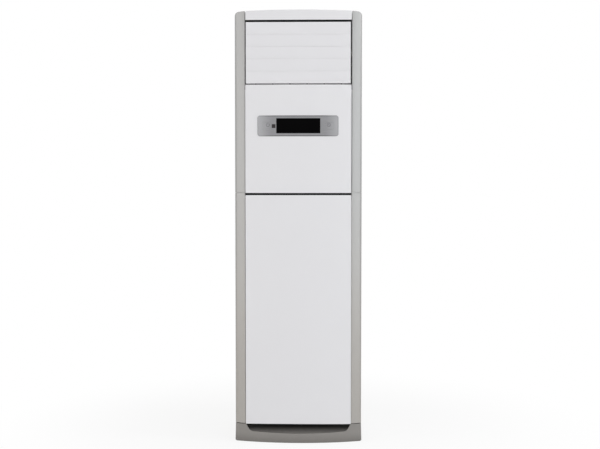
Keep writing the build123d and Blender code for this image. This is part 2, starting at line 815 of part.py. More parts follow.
def louvre_blade(index):
    """One blade, closed: a flat face and a curved back, webs to the pins, and its crank."""
    z = blade_axis_z(index)
    half_height = (blade_pitch - blade_seam) / 2
    front, edge = blade_front_y, blade_front_y + blade_edge
    back = blade_front_y + blade_thickness
    section = face_of(
        Polyline((edge, z + half_height), (front, z + half_height), (front, z - half_height),
                 (edge, z - half_height)),
        ThreePointArc((edge, z - half_height), (back, z), (edge, z + half_height)))
    blade = Pos(-blade_half, 0, 0) * extrude(Plane.YZ * section, 2 * blade_half, dir=(1, 0, 0))
    long_edges = [edge for edge in blade.edges().filter_by(Axis.X)
                  if abs(edge.center().Y - front) < blade_edge / 2]
    blade = fillet(long_edges, blade_seam)
    web = block(blade_half - blade_web, blade_half, front + blade_edge, blade_pivot_y,
                z - blade_web_height / 2, z + blade_web_height / 2)
    web += rod_x(blade_pivot_y, z, blade_boss_radius, blade_half - blade_web, blade_half)
    blade += both_sides(web)
    crank_x = frame_outer_x + crank_gap
    reach = crank_x + blade_drive_reach if index == blade_count // 2 else crank_x
    blade += rod_x(blade_pivot_y, z, blade_pin_radius, blade_half, reach)
    blade += rod_x(blade_pivot_y, z, blade_pin_radius, -crank_x - crank_thickness, -blade_half)
    outer_x = -crank_x - crank_thickness
    pin_y = blade_pivot_y + crank_length
    crank = rod_x(blade_pivot_y, z, crank_radius, outer_x, -crank_x)
    crank += rod_x(pin_y, z, crank_radius, outer_x, -crank_x)
    crank += block(outer_x, -crank_x, blade_pivot_y, pin_y, z - crank_radius, z + crank_radius)
    crank += rod_x(pin_y, z, crank_pin_radius, outer_x - bar_gap * 2 - bar_thickness, outer_x)
    return blade + crank


def louvre_tie_bar():
    outer_x = -(frame_outer_x + crank_gap + crank_thickness + bar_gap)
    y = blade_pivot_y + crank_length
    bottom, top = blade_axis_z(0) - bar_overrun, blade_axis_z(blade_count - 1) + bar_overrun
    bar = block(outer_x - bar_thickness, outer_x, y - bar_half_width, y + bar_half_width,
                bottom, top)
    for index in range(blade_count):
        bar -= rod_x(y, blade_axis_z(index), crank_pin_radius + running_gap,
                     outer_x - bar_thickness - 1, outer_x + 1)
    return bar


def louvre_motor():
    z = blade_axis_z(blade_count // 2)
    can = rod_x(blade_pivot_y + motor_offset, z, motor_can_radius, frame_outer_x,
                frame_outer_x + motor_can_length)
    ear = block(frame_outer_x, frame_outer_x + crank_thickness, blade_pivot_y,
                blade_pivot_y + motor_offset * 2, z - motor_can_radius - motor_ear,
                z + motor_can_radius + motor_ear)
    return can + ear - rod_x(blade_pivot_y, z, blade_pin_radius + running_gap,
                             frame_outer_x - 1, frame_outer_x + motor_can_length + 1)


def swing_vane(index):
    """One upright vane with its pivot pins, and the notch and pin that take the tie rod."""
    x = vane_x(index)
    half = vane_thickness / 2
    vane = block(x - half, x + half, vane_pivot_y - vane_front, vane_pivot_y + vane_rear,
                 vane_bottom_z, vane_top_z)
    notch_z = vane_bottom_z + vane_notch_height
    vane -= block(x - half - 1, x + half + 1, vane_pivot_y + vane_notch_gap,
                  vane_pivot_y + vane_rear + 1, vane_bottom_z - 1, notch_z)
    tall = index == vane_motor_index
    pin_top = frame_top_z + plastic_wall + (vane_drive_reach if tall else soft_gap)
    vane += rod_z(x, vane_pivot_y, vane_pin_radius, frame_bottom_z - plastic_wall, vane_bottom_z)
    vane += rod_z(x, vane_pivot_y, vane_pin_radius, vane_bottom_z, vane_top_z)
    vane += rod_z(x, vane_pivot_y, vane_pin_radius, vane_top_z, pin_top)
    rod_bottom = notch_z - vane_rod_drop - vane_rod_height
    vane += rod_z(x, vane_pivot_y + vane_arm, crank_pin_radius, rod_bottom - bar_gap * 2, notch_z)
    return vane


def vane_tie_rod():
    y = vane_pivot_y + vane_arm
    top = vane_bottom_z + vane_notch_height - vane_rod_drop
    first, last = vane_x(0) - bar_overrun, vane_x(vane_count - 1) + bar_overrun
    rod = block(first, last, y - vane_rod_half_width, y + vane_rod_half_width,
                top - vane_rod_height, top)
    for index in range(vane_count):
        rod -= rod_z(vane_x(index), y, crank_pin_radius + running_gap,
                     top - vane_rod_height - 1, top + 1)
    return rod


def vane_motor():
    x = vane_x(vane_motor_index)
    z = frame_top_z + plastic_wall
    can = rod_z(x, vane_pivot_y, vane_motor_radius, z, z + vane_motor_height)
    ear_end = vane_motor_radius + vane_motor_ear
    ears = block(x - ear_end, x + ear_end,
                 vane_pivot_y - vane_motor_radius / 2, vane_pivot_y + vane_motor_radius / 2,
                 z, z + crank_thickness)
    return can + ears - rod_z(x, vane_pivot_y, vane_pin_radius + running_gap, z - 1,
                              z + vane_motor_height + 1)


def air_guide():
    """The curved foam wall that turns the air forward into the outlet frame."""
    rear = rear_inner_y - side_sheet
    front = frame_rear_y + soft_gap
    top = frame_top_z + plastic_wall
    t = guide_thickness
    run, rise = front - rear, top - guide_corner_z
    length = sqrt(run**2 + rise**2)
    out_y, out_z = rise / length, -run / length

    def curve(inset):
        crown = guide_bulge - inset
        middle = ((rear + front) / 2 + crown * out_y, (guide_corner_z + top) / 2 + crown * out_z)
        return ThreePointArc((rear - inset, guide_corner_z), middle, (front, top - inset))

    outer, inner = curve(0), curve(t)
    rest = [Line((front, top), (front, top - t)),
            Polyline((rear - t, guide_corner_z), (rear - t, guide_foot_z),
                     (rear, guide_foot_z), (rear, guide_corner_z))]
    section = face_of(outer, inner, *rest)
    half = side_inner_x - panel_lip - seat_gap
    return Pos(-half, 0, 0) * extrude(Plane.YZ * section, 2 * half, dir=(1, 0, 0))


def air_filter():
    half = filter_half_width
    y0 = filter_y - filter_thickness / 2
    y1 = filter_y + filter_thickness / 2
    z0, z1 = filter_bottom + soft_gap, filter_bottom + filter_height
    frame = block(-half, half, y0, y1, z0, z1)
    frame -= block(-half + filter_border, half - filter_border, y0 - 1, y1 + 1,
                   z0 + filter_border, z1 - filter_border)
    for column in range(1, filter_columns):
        x = -half + column * 2 * half / filter_columns
        frame += block(x - filter_rib / 2, x + filter_rib / 2, y0, y1, z0, z1)
    for row in range(1, filter_rows):
        z = z0 + row * (z1 - z0) / filter_rows
        frame += block(-half, half, y0, y1, z - filter_rib / 2, z + filter_rib / 2)
    mesh = block(-half, half, filter_y - filter_mesh / 2, filter_y + filter_mesh / 2, z0, z1)
    return frame + mesh


def filter_rails():
    reach = filter_thickness / 2 + rail_clearance
    inner = filter_half_width + rail_clearance
    outer = inner + rail_wall
    z0, z1 = filter_bottom - rail_wall, filter_bottom + filter_height
    rail = block(inner - rail_grip, outer, filter_y - reach - rail_wall,
                 filter_y + reach + rail_wall, z0, z1)
    rail -= block(inner - rail_grip - 1, inner, filter_y - reach, filter_y + reach,
                  filter_bottom, z1 + 1)
    wing_y = flange_y + side_sheet
    rail += block(outer, trim_inner_x, wing_y, wing_y + rail_wall, z0, z1)
    return both_sides(rail)


def scroll_radius(turn):
    """Grows at a steady rate over three quarters of a turn, from the tongue to the outlet."""
    return scroll_start_radius + (scroll_end_radius - scroll_start_radius) * turn


def scroll_outline(inset, top):
    """The scroll from the front: it starts at the tongue, goes down round the wheel and ends
    in a straight duct that goes up to the deck."""
    points = []
    for step in range(scroll_points + 1):
        turn = step / scroll_points
        angle = radians(scroll_tongue_angle + turn * (360 - scroll_tongue_angle))
        radius = scroll_radius(turn) - inset
        points.append((fan_x + radius * cos(angle), fan_z + radius * sin(angle)))
    tongue = points[0]
    end = points[-1]
    curve = Spline(*points)
    rest = Polyline(end, (end[0], top), (tongue[0], top), tongue)
    return Plane.XZ * face_of(curve, rest)


def blower_scroll():
    y0, y1 = scroll_front_y, scroll_rear_y
    outer = Pos(0, y0, 0) * extrude(scroll_outline(0, deck_z), y1 - y0, dir=(0, 1, 0))
    inner = Pos(0, y0 + scroll_wall, 0) * extrude(scroll_outline(scroll_wall, deck_z + 1),
                                                  y1 - y0 - 2 * scroll_wall, dir=(0, 1, 0))
    foot_top = fan_z - scroll_start_radius / 2
    feet = [block(fan_x + side * scroll_foot_spread - scroll_foot_width / 2,
                  fan_x + side * scroll_foot_spread + scroll_foot_width / 2,
                  y - inner_sheet, y, pan_sheet, foot_top)
            for side in (-1, 1) for y in (y0 + inner_sheet, y1)]
    scroll = outer + feet - inner
    scroll -= rod_y(fan_x, fan_z, inlet_radius, y0 - 1, y0 + scroll_wall + 1)
    return scroll - rod_y(fan_x, fan_z, hub_radius, y1 - scroll_wall - 1, y1 + 1)


def bell_mouth():
    """A flared ring through the scroll's inlet."""
    face_y = scroll_front_y
    throat, rim = throat_radius, inlet_radius + bell_flare
    lip = face_y - bell_depth
    profile = face_of(
        Line((rim, face_y), (rim, face_y - plastic_wall)),
        ThreePointArc((rim, face_y - plastic_wall),
                      (throat + bell_shoulder_width, lip + bell_shoulder_depth),
                      (throat, face_y + plastic_wall)),
        Polyline((throat, face_y + plastic_wall), (throat + plastic_wall, face_y + plastic_wall),
                 (throat + bell_root, face_y), (rim, face_y)))
    return Pos(fan_x, 0, fan_z) * revolve(profile, Axis.Y)


def blower_wheel():
    y0, y1 = wheel_front_y, wheel_front_y + wheel_depth
    plate_y = y1 - wheel_plate
    wheel = rod_y(0, 0, wheel_radius, plate_y, y1)
    ring = rod_y(0, 0, wheel_radius, y0, y0 + wheel_ring_depth)
    ring -= rod_y(0, 0, wheel_inner_radius, y0 - 1, y0 + wheel_ring_depth + 1)
    hub = rod_y(0, 0, hub_radius, y1 - hub_length, y1)
    lean = radians(blade_lean)
    middle = (wheel_radius + wheel_inner_radius) / 2

    def arc(turn):
        tip = wheel_radius - blade_sheet / 2
        return ThreePointArc(
            (wheel_inner_radius * cos(turn), wheel_inner_radius * sin(turn)),
            (middle * cos(turn + lean / 3), middle * sin(turn + lean / 3)),
            (tip * cos(turn + lean), tip * sin(turn + lean)))

    one, two = arc(0), arc(blade_sheet / middle)
    vane = face_of(one, two, Line(one @ 0, two @ 0), Line(one @ 1, two @ 1))
    vane = Pos(0, y0 + wheel_plate, 0) * extrude(Plane.XZ * vane, plate_y - y0, dir=(0, 1, 0))
    vanes = [Rot(0, index * 360 / wheel_blades, 0) * vane for index in range(wheel_blades)]
    wheel = wheel + [ring, hub, *vanes]
    wheel -= rod_y(0, 0, shaft_radius + shaft_fit, y0 - 1, y1 + 1)
    return Pos(fan_x, 0, fan_z) * wheel


def fan_shaft():
    y1 = wheel_front_y + wheel_depth
    return rod_y(fan_x, fan_z, shaft_radius, y1 - hub_length, fan_motor_y + shaft_into_motor)


def fan_motor():
    y0, y1 = fan_motor_y, fan_motor_y + fan_motor_length
    can = rod_y(fan_x, fan_z, fan_motor_radius, y0, y1)
    ends = can.edges().filter_by(GeomType.CIRCLE)
    can = fillet(ends, fan_motor_round)
    return can - rod_y(fan_x, fan_z, shaft_radius + running_gap, y0 - 1,
                       y0 + shaft_into_motor + soft_gap)


def motor_bracket():
    inner = fan_motor_radius + soft_gap
    outer = inner + bracket_ring
    y0 = fan_motor_y + bracket_ring_depth
    ring = rod_y(fan_x, fan_z, outer, y0, y0 + bracket_ring_depth)
    ring -= rod_y(fan_x, fan_z, inner, y0 - 1, y0 + bracket_ring_depth + 1)
    legs = []
    for index in range(bracket_legs):
        angle = radians((index + 0.5) * 360 / bracket_legs)
        radius = inner + bracket_leg_radius + soft_gap
        legs.append(rod_y(fan_x + radius * cos(angle), fan_z + radius * sin(angle),
                          bracket_leg_radius, scroll_rear_y, y0 + bracket_ring_depth / 2))
    return ring + legs


def partition_deck():
    half = side_inner_x - soft_gap
    front, back = flange_y + side_sheet + soft_gap, rear_inner_y - side_sheet - soft_gap
    deck = block(-half, half, front, back, deck_z, deck_top)
    deck += both_sides(block(half - inner_sheet, half, front + deck_flange_setback, back,
                             deck_z - deck_flange, deck_top))
    jog_y = trim_rear_y + side_sheet * 2 + soft_gap
    deck -= both_sides(block(jog_outer_x - side_sheet - soft_gap, half + 1, front - 1, jog_y,
                             deck_z - deck_flange - 1, deck_top + 1))
    tongue_x = fan_x + scroll_start_radius * cos(radians(scroll_tongue_angle))
    duct = (tongue_x + discharge_margin, fan_x + scroll_end_radius - discharge_margin)
    deck -= block(*duct, scroll_front_y + discharge_margin, scroll_rear_y - discharge_margin,
                  deck_z - 1, deck_top + 1)
    notch = block(gas_pipe_x - gas_radius - pipe_notch_gap,
                  liquid_pipe_x + liquid_radius + pipe_notch_gap,
                  liquid_pipe_y - liquid_radius - pipe_notch_gap,
                  gas_pipe_y + gas_radius + pipe_notch_gap, deck_z - 1, deck_top + 1)
    return deck - notch


def tilted(shape):
    return Pos(0, coil_middle_y, coil_middle_z) * Rot(-coil_tilt, 0, 0) * shape


def coil_point(y, z):
    """Where a point of the coil's own middle plane lies once the coil is tilted."""
    return tilted(Pos(0, y, z)).position


def tube_places():
    """Each tube's place in the coil's own plane, in the order that the refrigerant takes."""
    rows = [(row - (tube_rows - 1) / 2) * tube_pitch for row in range(tube_rows)]
    return [(side * tube_row_gap / 2, z) for z in rows for side in (-1, 1)]


def tube_bores(radius, half):
    return [rod_x(y, z, radius, -half, half) for y, z in tube_places()]


def coil_fins():
    count = int(2 * coil_half_width / fin_pitch) + 1
    first = -(count - 1) / 2 * fin_pitch
    plate = block(-fin_sheet / 2, fin_sheet / 2, -coil_thickness / 2, coil_thickness / 2,
                  -coil_length / 2, coil_length / 2)
    plate = plate - tube_bores(tube_radius + running_gap, fin_pitch)
    fins = [tilted(Pos(first + index * fin_pitch, 0, 0) * plate) for index in range(count)]
    return Compound(children=fins)


def coil_tubes():
    """One run of tube: straight through the fins, and round at the end of each pass."""
    places = tube_places()

    def run(radius):
        pieces = tube_bores(radius, tube_end_x)
        for index in range(len(places) - 1):
            (y0, z0), (y1, z1) = places[index], places[index + 1]
            side = -1 if index % 2 == 0 else 1
            reach = sqrt((y1 - y0) ** 2 + (z1 - z0) ** 2) / 2
            bend = ThreePointArc((side * tube_end_x, y0, z0),
                                 (side * (tube_end_x + reach), (y0 + y1) / 2, (z0 + z1) / 2),
                                 (side * tube_end_x, y1, z1))
            section = Plane(origin=bend @ 0, z_dir=bend % 0) * Circle(radius)
            pieces.append(sweep(section, path=bend))
        return pieces[0] + pieces[1:]

    return tilted(run(tube_radius) - run(tube_radius - tube_wall))


def coil_end_plates():
    x0 = coil_half_width + end_plate_gap
    x1 = x0 + inner_sheet
    plate = tilted(block(x0, x1, -coil_thickness / 2 - end_plate_gap,
                         coil_thickness / 2 + end_plate_gap,
                         -coil_length / 2 - end_plate_gap, coil_length / 2 + end_plate_gap))
    low, high = coil_point(0, -coil_length / 2), coil_point(0, coil_length / 2)
    plate += block(x0, x1, low.Y - coil_leg_width / 2, low.Y + coil_leg_width / 2, deck_top,
                   low.Z + coil_leg_width / 2)
    plate += block(x0, x1, high.Y, rear_inner_y - side_sheet - soft_gap,
                   high.Z - coil_arm_height, high.Z)
    bores = [tilted(bore) for bore in tube_bores(tube_radius + running_gap, x1 + 1)]
    y, z = spigot_place()
    return both_sides(plate - bores) - rod_x(y, z, spigot_radius + soft_gap, x0 - 1, x1 + 1)


def spigot_place():
    return pan_front_y + pan_depth / 2, deck_top + pan_wall + spigot_radius


def drain_pan():
    half = coil_half_width - soft_gap
    y0, y1 = pan_front_y, pan_front_y + pan_depth
    pan = block(-half, half, y0, y1, deck_top, deck_top + pan_height)
    pan -= block(-half + pan_wall, half - pan_wall, y0 + pan_wall, y1 - pan_wall,
                 deck_top + pan_wall, deck_top + pan_height + 1)
    y, z = spigot_place()
    pan += rod_x(y, z, spigot_radius, half - pan_wall, half + spigot_length)
    return pan - rod_x(y, z, spigot_bore, half - pan_wall - 1, half + spigot_length + 1)


def pipe_start(index):
    return coil_point(*tube_places()[index]) + Vector(tube_end_x, 0, 0)


def refrigerant_pipes():
    last = len(tube_places()) - 1
    gas = bent_pipe(gas_radius, last, gas_pipe_x, gas_pipe_y, gas_exit_z)
    liquid = bent_pipe(liquid_radius, 0, liquid_pipe_x, liquid_pipe_y, liquid_exit_z)
    return Compound(children=[gas, liquid])


def bent_pipe(radius, index, pipe_x, pipe_y, exit_z):
    """From a coil end sideways, back, down behind the coil, and in towards the port.
    A bend takes no more than its shortest run has room for."""
    start = pipe_start(index)
    bend = min(pipe_bend, pipe_x - start.X - seat_gap, (pipe_y - start.Y - seat_gap) / 2)
    path = FilletPolyline((start.X, start.Y, start.Z), (pipe_x, start.Y, start.Z),
                          (pipe_x, pipe_y, start.Z), (pipe_x, pipe_y, exit_z),
                          (port_x, pipe_y, exit_z), radius=bend)
    section = Plane(origin=path @ 0, z_dir=path % 0) * Circle(radius)
    return sweep(section, path=path)


def flare_nuts():
    nuts = []
    for radius, y, z in ((gas_radius, gas_pipe_y, gas_exit_z),
                         (liquid_radius, liquid_pipe_y, liquid_exit_z)):
        profile = RegularPolygon(radius + nut_over, 6)
        bar = extrude(profile, nut_length) - Cylinder(radius + running_gap, 3 * nut_length)
        nuts.append(Pos(port_x - soft_gap, y, z) * Rot(0, 90, 0) * bar)
    return Compound(children=nuts)


def electrical_box():
    """An open tray, with an ear at each corner that reaches the side panels' flanges."""
    t = side_sheet
    y0 = flange_y + t
    z0, z1 = box_bottom, box_bottom + box_height
    tray = block(-box_half_width, box_half_width, y0, y0 + box_depth, z0, z1)
    tray -= block(-box_half_width + t, box_half_width - t, y0 - 1, y0 + box_depth - t,
                  z0 + t, z1 - t)
    for z in (z0, z1 - box_ear_height):
        tray += both_sides(block(box_half_width - t, trim_inner_x, y0, y0 + t,
                                 z, z + box_ear_height))
    return tray


def box_cover():
    t = side_sheet
    y1 = flange_y + t
    z0, z1 = box_bottom - t, box_bottom + box_height + t
    half = box_half_width + t
    cover = block(-half, half, y1 - t, y1, z0, z1)
    cover += block(-half, half, y1, y1 + panel_lip / 2, z1 - t, z1)
    return cover + block(-half, half, y1, y1 + panel_lip / 2, z0, z0 + t)


def box_back_y():
    return flange_y + side_sheet + box_depth - side_sheet


def control_board():
    back = box_back_y() - standoff
    middle_z = box_bottom + box_height / 2
    board = block(control_board_x - control_board_width / 2,
                  control_board_x + control_board_width / 2,
                  back - board_thickness, back, middle_z - control_board_height / 2,
                  middle_z + control_board_height / 2)
    for x_side in (-1, 1):
        for z_side in (-1, 1):
            x = control_board_x + x_side * (control_board_width / 2 - standoff)
            z = middle_z + z_side * (control_board_height / 2 - standoff)
            board += rod_y(x, z, standoff_radius, back, box_back_y())
    for index in range(relay_count):
        x = control_board_x + (index - (relay_count - 1) / 2) * relay_pitch
        board += block(x - relay_size / 2, x + relay_size / 2,
                       back - board_thickness - relay_size, back - board_thickness,
                       middle_z, middle_z + relay_height)
    return board


def terminal_block():
    back = box_back_y()
    z = box_bottom + box_ear_height
    half = terminal_ways * terminal_pitch / 2
    body = block(terminal_x - half, terminal_x + half - board_thickness, back - terminal_depth,
                 back, z, z + terminal_height)
    for way in range(terminal_ways):
        x = terminal_x - half + (way + 0.5) * terminal_pitch
        body -= rod_y(x, z + terminal_height / 2, terminal_screw_radius,
                      back - terminal_depth - 1, back - terminal_depth + terminal_screw_depth)
    return body


parts = {
    "base_pan": base_pan(),
    "plinth_cover": plinth_cover(),
    "side_panel_right": side_panel(),
    "side_panel_left": mirror(side_panel(), Plane.YZ),
    "rear_panel": rear_panel(),
    "panel_screws": panel_screws(),
    "wall_bracket": wall_bracket(),
    "pipe_grommet": pipe_grommet(),
    "cable_gland": cable_gland(),
    "top_cover": top_cover(),
    "top_fascia": top_fascia(),
    "upper_trim_right": upper_trim(),
    "upper_trim_left": mirror(upper_trim(), Plane.YZ),
    "lower_trim_right": lower_trim(),
    "lower_trim_left": mirror(lower_trim(), Plane.YZ),
    "cross_bar": cross_bar(),
    "lower_panel": lower_panel(),
    "display_panel": display_panel(),
    "display_bezel": display_bezel(),
    "display_window": display_window(),
    "ir_receiver": ir_receiver(),
    "display_board": display_board(),
    "key_left": display_key(-1),
    "key_right": display_key(1),
    "outlet_frame": outlet_frame(),
    "louvre_tie_bar": louvre_tie_bar(),
    "louvre_motor": louvre_motor(),
    "vane_tie_rod": vane_tie_rod(),
    "vane_motor": vane_motor(),
    "air_guide": air_guide(),
    "air_filter": air_filter(),
    "filter_rails": filter_rails(),
    "blower_scroll": blower_scroll(),
    "bell_mouth": bell_mouth(),
    "blower_wheel": blower_wheel(),
    "fan_shaft": fan_shaft(),
    "fan_motor": fan_motor(),
    "motor_bracket": motor_bracket(),
    "partition_deck": partition_deck(),
    "coil_fins": coil_fins(),
    "coil_tubes": coil_tubes(),
    "coil_end_plates": coil_end_plates(),
    "drain_pan": drain_pan(),
    "refrigerant_pipes": refrigerant_pipes(),
    "flare_nuts": flare_nuts(),
    "electrical_box": electrical_box(),
    "box_cover": box_cover(),
    "control_board": control_board(),
    "terminal_block": terminal_block(),
}
for index in range(blade_count):
    parts[f"louvre_blade_{index + 1}"] = louvre_blade(index)
for index in range(vane_count):
    parts[f"swing_vane_{index + 1}"] = swing_vane(index)

for name, shape in parts.items():
    export_step(shape, f"parts/{name}.step")
print(len(parts), "nodes")
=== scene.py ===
import json
from math import cos, pi, radians, sin, sqrt

import bmesh
import bpy
import numpy as np
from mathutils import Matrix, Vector


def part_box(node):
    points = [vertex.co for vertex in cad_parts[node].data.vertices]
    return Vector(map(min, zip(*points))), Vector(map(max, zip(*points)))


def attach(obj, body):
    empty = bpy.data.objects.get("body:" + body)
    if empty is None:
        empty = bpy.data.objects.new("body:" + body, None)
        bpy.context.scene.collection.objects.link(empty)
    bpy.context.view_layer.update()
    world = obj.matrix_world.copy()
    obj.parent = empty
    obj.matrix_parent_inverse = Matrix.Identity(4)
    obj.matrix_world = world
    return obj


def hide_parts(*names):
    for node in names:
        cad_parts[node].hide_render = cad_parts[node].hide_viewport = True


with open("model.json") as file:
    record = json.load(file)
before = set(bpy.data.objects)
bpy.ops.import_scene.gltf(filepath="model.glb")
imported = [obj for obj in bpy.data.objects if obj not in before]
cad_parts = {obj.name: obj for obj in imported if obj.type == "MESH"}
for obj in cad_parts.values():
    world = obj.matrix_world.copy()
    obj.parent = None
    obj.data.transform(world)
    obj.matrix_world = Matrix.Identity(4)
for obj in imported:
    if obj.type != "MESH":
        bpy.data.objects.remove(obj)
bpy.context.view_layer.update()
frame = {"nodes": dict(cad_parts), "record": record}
print("frame loaded:", len(frame["nodes"]), "nodes")

# All sizes and places are in metres. Front is -Y, up is +Z.
meshing = {
    "merge": 4e-6,  # points nearer than this become one
    "degenerate": 2e-6,
    "slack": 1e-9,  # for comparing places
    "sharpAngle": 35,  # degrees: a harder bend is shaded as an edge
    "roundingAngle": 38,  # degrees: a harder bend is rounded
    "roundingSteps": 3,
    "weld": 0.00002,  # closes what the rounding leaves between crowded points
    "faceEnd": 1.25,  # a flat face ends this many edge radii from its outline
}

frontPanels = {
    "half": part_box("display_panel")[1].x,
    "frontY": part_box("display_panel")[0].y,
    "bowRadius": 6.2,  # of the faces, seen from above
    "edgeRadius": 0.0006,
    "corner": 0.0025,
    "wall": 0.0025,
    "returnDepth": 0.014,  # how far the sides reach back
    "wider": 0.0005,  # than the solids, on each side
    "aside": 0.0004,
    "slit": (1.0503, 1.0593),  # between the lower panel and the display panel
    "lowEdge": 0.0780,
    "displayTop": -0.0019,  # from the solid's top
    "holeLap": 0.003,  # how far the bezel covers the opening's edge
    "holeCorner": 0.008,
    "rings": 18,
    "pinRadius": 0.0025,  # of the pins that the lower panel hangs on
    "pinDrop": 0.010,  # below its top edge
    "pinSetIn": 0.012,
    "pinReach": 0.0045,
}


def bowDepth(x, radius):
    # how far an arc of that radius falls back at x from its middle
    return radius - np.sqrt(radius**2 - np.square(x))


def panelY(x):
    # the front panels' face at x: the middle line plus the bow
    return frontPanels["frontY"] + bowDepth(x, frontPanels["bowRadius"])


def middleHalf(low, high):
    # the middle and the half size of a box, each as x, y, z
    return [(a + b) / 2 for a, b in zip(low, high)], [(b - a) / 2 for a, b in zip(low, high)]


def gridFaces(rows, columns, closed):
    # quads between neighbours of a grid numbered row by row; closed joins the last column to the first
    row, column = np.meshgrid(np.arange(rows - 1), np.arange(columns if closed else columns - 1),
                              indexing="ij")
    beside = (column + 1) % columns
    corners = [row * columns + column, row * columns + beside,
               (row + 1) * columns + beside, (row + 1) * columns + column]
    return np.stack(corners, -1).reshape(-1, 4)


def surfaceMesh(name, sheets):
    # sheets are (grid of points, closed) pairs; shared edges are merged and faces turned outwards
    points = [np.asarray(grid, float).reshape(-1, 3) for grid, closed in sheets]
    starts = np.cumsum([0] + [len(p) for p in points])
    faces = np.concatenate([gridFaces(*grid.shape[:2], closed) + start
                            for (grid, closed), start in zip(sheets, starts)])
    points = np.concatenate(points)
    mesh = bpy.data.meshes.new(name)
    mesh.vertices.add(len(points))
    mesh.vertices.foreach_set("co", points.astype(np.float32).ravel())
    mesh.loops.add(faces.size)
    mesh.loops.foreach_set("vertex_index", faces.astype(np.int32).ravel())
    mesh.polygons.add(len(faces))
    mesh.polygons.foreach_set("loop_start", np.arange(0, faces.size, 4, dtype=np.int32))
    mesh.update(calc_edges=True)
    work = bmesh.new()
    work.from_mesh(mesh)
    bmesh.ops.remove_doubles(work, verts=work.verts, dist=meshing["merge"])
    bmesh.ops.dissolve_degenerate(work, edges=work.edges, dist=meshing["degenerate"])
    # a wall that two sheets share lies inside the piece
    inside = [face for face in work.faces if sum(len(edge.link_faces) > 2 for edge in face.edges) > 1]
    bmesh.ops.delete(work, geom=inside, context="FACES")
    bmesh.ops.recalc_face_normals(work, faces=work.faces)
    work.to_mesh(mesh)
    work.free()
    mesh.shade_smooth()
    mesh.set_sharp_from_angle(angle=radians(meshing["sharpAngle"]))
    return mesh


def addPiece(name, sheets, body, slotName, nodes=(), finish=None, wall=0, edge=0, even=True):
    # a new piece: its mesh, then a wall inwards and rounded edges where they are asked for
    piece = bpy.data.objects.new(name, surfaceMesh(name, sheets))
    bpy.context.scene.collection.objects.link(piece)
    piece.data.materials.append(materials[finish or slotName])
    if wall:
        shell = piece.modifiers.new("wall", "SOLIDIFY")
        shell.thickness, shell.offset, shell.use_even_offset = wall, -1, even
    if edge:
        rounding = piece.modifiers.new("edges", "BEVEL")
        rounding.width, rounding.segments = edge, meshing["roundingSteps"]
        rounding.limit_method, rounding.angle_limit = "ANGLE", radians(meshing["roundingAngle"])
        piece.modifiers.new("weld", "WELD").merge_threshold = meshing["weld"]
        piece.modifiers.new("shading", "WEIGHTED_NORMAL").keep_sharp = True
    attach(piece, body)
    if nodes:
        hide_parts(*nodes)
    return piece


def secondFinish(piece, finish, chosen):
    # another finish for the faces whose middles are chosen by their x, y and z
    piece.data.materials.append(materials[finish])
    middles = np.empty(len(piece.data.polygons) * 3)
    piece.data.polygons.foreach_get("center", middles)
    picked = chosen(*middles.reshape(-1, 3).T)
    piece.data.polygons.foreach_set("material_index", picked.astype(np.int32))


def bend(start, corner, end, count):
    # a curve after start up to end, tangent at both to the lines that meet in the corner
    turn = np.linspace(0, 1, count)[1:, None]
    return start * (1 - turn)**2 + corner * 2 * turn * (1 - turn) + end * turn**2


def roundedLoop(halfX, halfZ, radius, straight=14, arc=6):
    # once round a rounded rectangle: each corner's quarter circle, then the straight to the next
    radius = max(min(radius, halfX, halfZ), 0)
    turn = np.linspace(-pi / 2, 0, arc + 1)
    corners = []
    for quarter, (sideX, sideZ) in enumerate([(1, -1), (1, 1), (-1, 1), (-1, -1)]):
        centre = np.array([sideX * (halfX - radius), sideZ * (halfZ - radius)])
        angle = turn + quarter * pi / 2
        corners.append(centre + radius * np.stack([np.cos(angle), np.sin(angle)], -1))
    loop = []
    for quarter in range(4):
        after = corners[(quarter + 1) % 4][0]
        loop += [corners[quarter], np.linspace(corners[quarter][-1], after, straight + 2)[1:-1]]
    return np.concatenate(loop)


def insetLoop(halfX, halfZ, radius, straight=14, arc=6):
    # a rounded rectangle that is drawn in by an inset
    return lambda inset: roundedLoop(halfX - inset, halfZ - inset, radius - inset, straight, arc)


def roundOver(radius, steps=5):
    # a quarter circle from the face round to the side, as (inset, depth) pairs
    turn = np.linspace(0, pi / 2, steps + 1)
    return np.stack([radius - radius * np.sin(turn), radius - radius * np.cos(turn)], -1)


def trayProfile(half, radius, depth, wall, rings=22):
    # from the middle of the face out, over the edge, back along the side, round the rim and in again
    face = np.stack([np.linspace(half, radius * meshing["faceEnd"], rings), np.zeros(rings)], -1)
    rim = np.array([(0, depth - wall / 4), (wall / 4, depth), (wall * 3 / 4, depth),
                    (wall, depth - wall / 4), (wall, wall)])
    inner = np.stack([np.linspace(wall * 1.1, half, rings), np.full(rings, wall)], -1)
    return np.concatenate([face, roundOver(radius), rim, inner])


def ringSheet(profile, outline, place):
    # carries a profile round an outline: each row is the outline drawn in by the inset, at that depth
    return np.stack([place(outline(inset), depth) for inset, depth in profile]), True


def bowPlace(centreX, centreZ, proud=0):
    # puts x, z points on the panels' bow, proud of it, with depth counted backwards
    def place(points, depth):
        x = points[..., 0] + centreX
        return np.stack([x, panelY(x) - proud + depth, centreZ + points[..., 1]], -1)
    return place


def prismSheet(outline, startX, endX, centre):
    # a closed prism along X: a y, z outline between two end faces that meet at its centre
    middle = np.broadcast_to(centre, outline.shape)
    rows = [(startX, middle), (startX, outline), (endX, outline), (endX, middle)]
    return np.stack([np.concatenate([np.full((len(line), 1), x), line], 1) for x, line in rows]), True


def rodSheet(startX, endX, y, z, radius, count=24):
    # a closed round bar along X
    turn = np.linspace(0, 2 * pi, count, endpoint=False)
    outline = np.stack([y + radius * np.cos(turn), z + radius * np.sin(turn)], -1)
    return prismSheet(outline, startX, endX, (y, z))


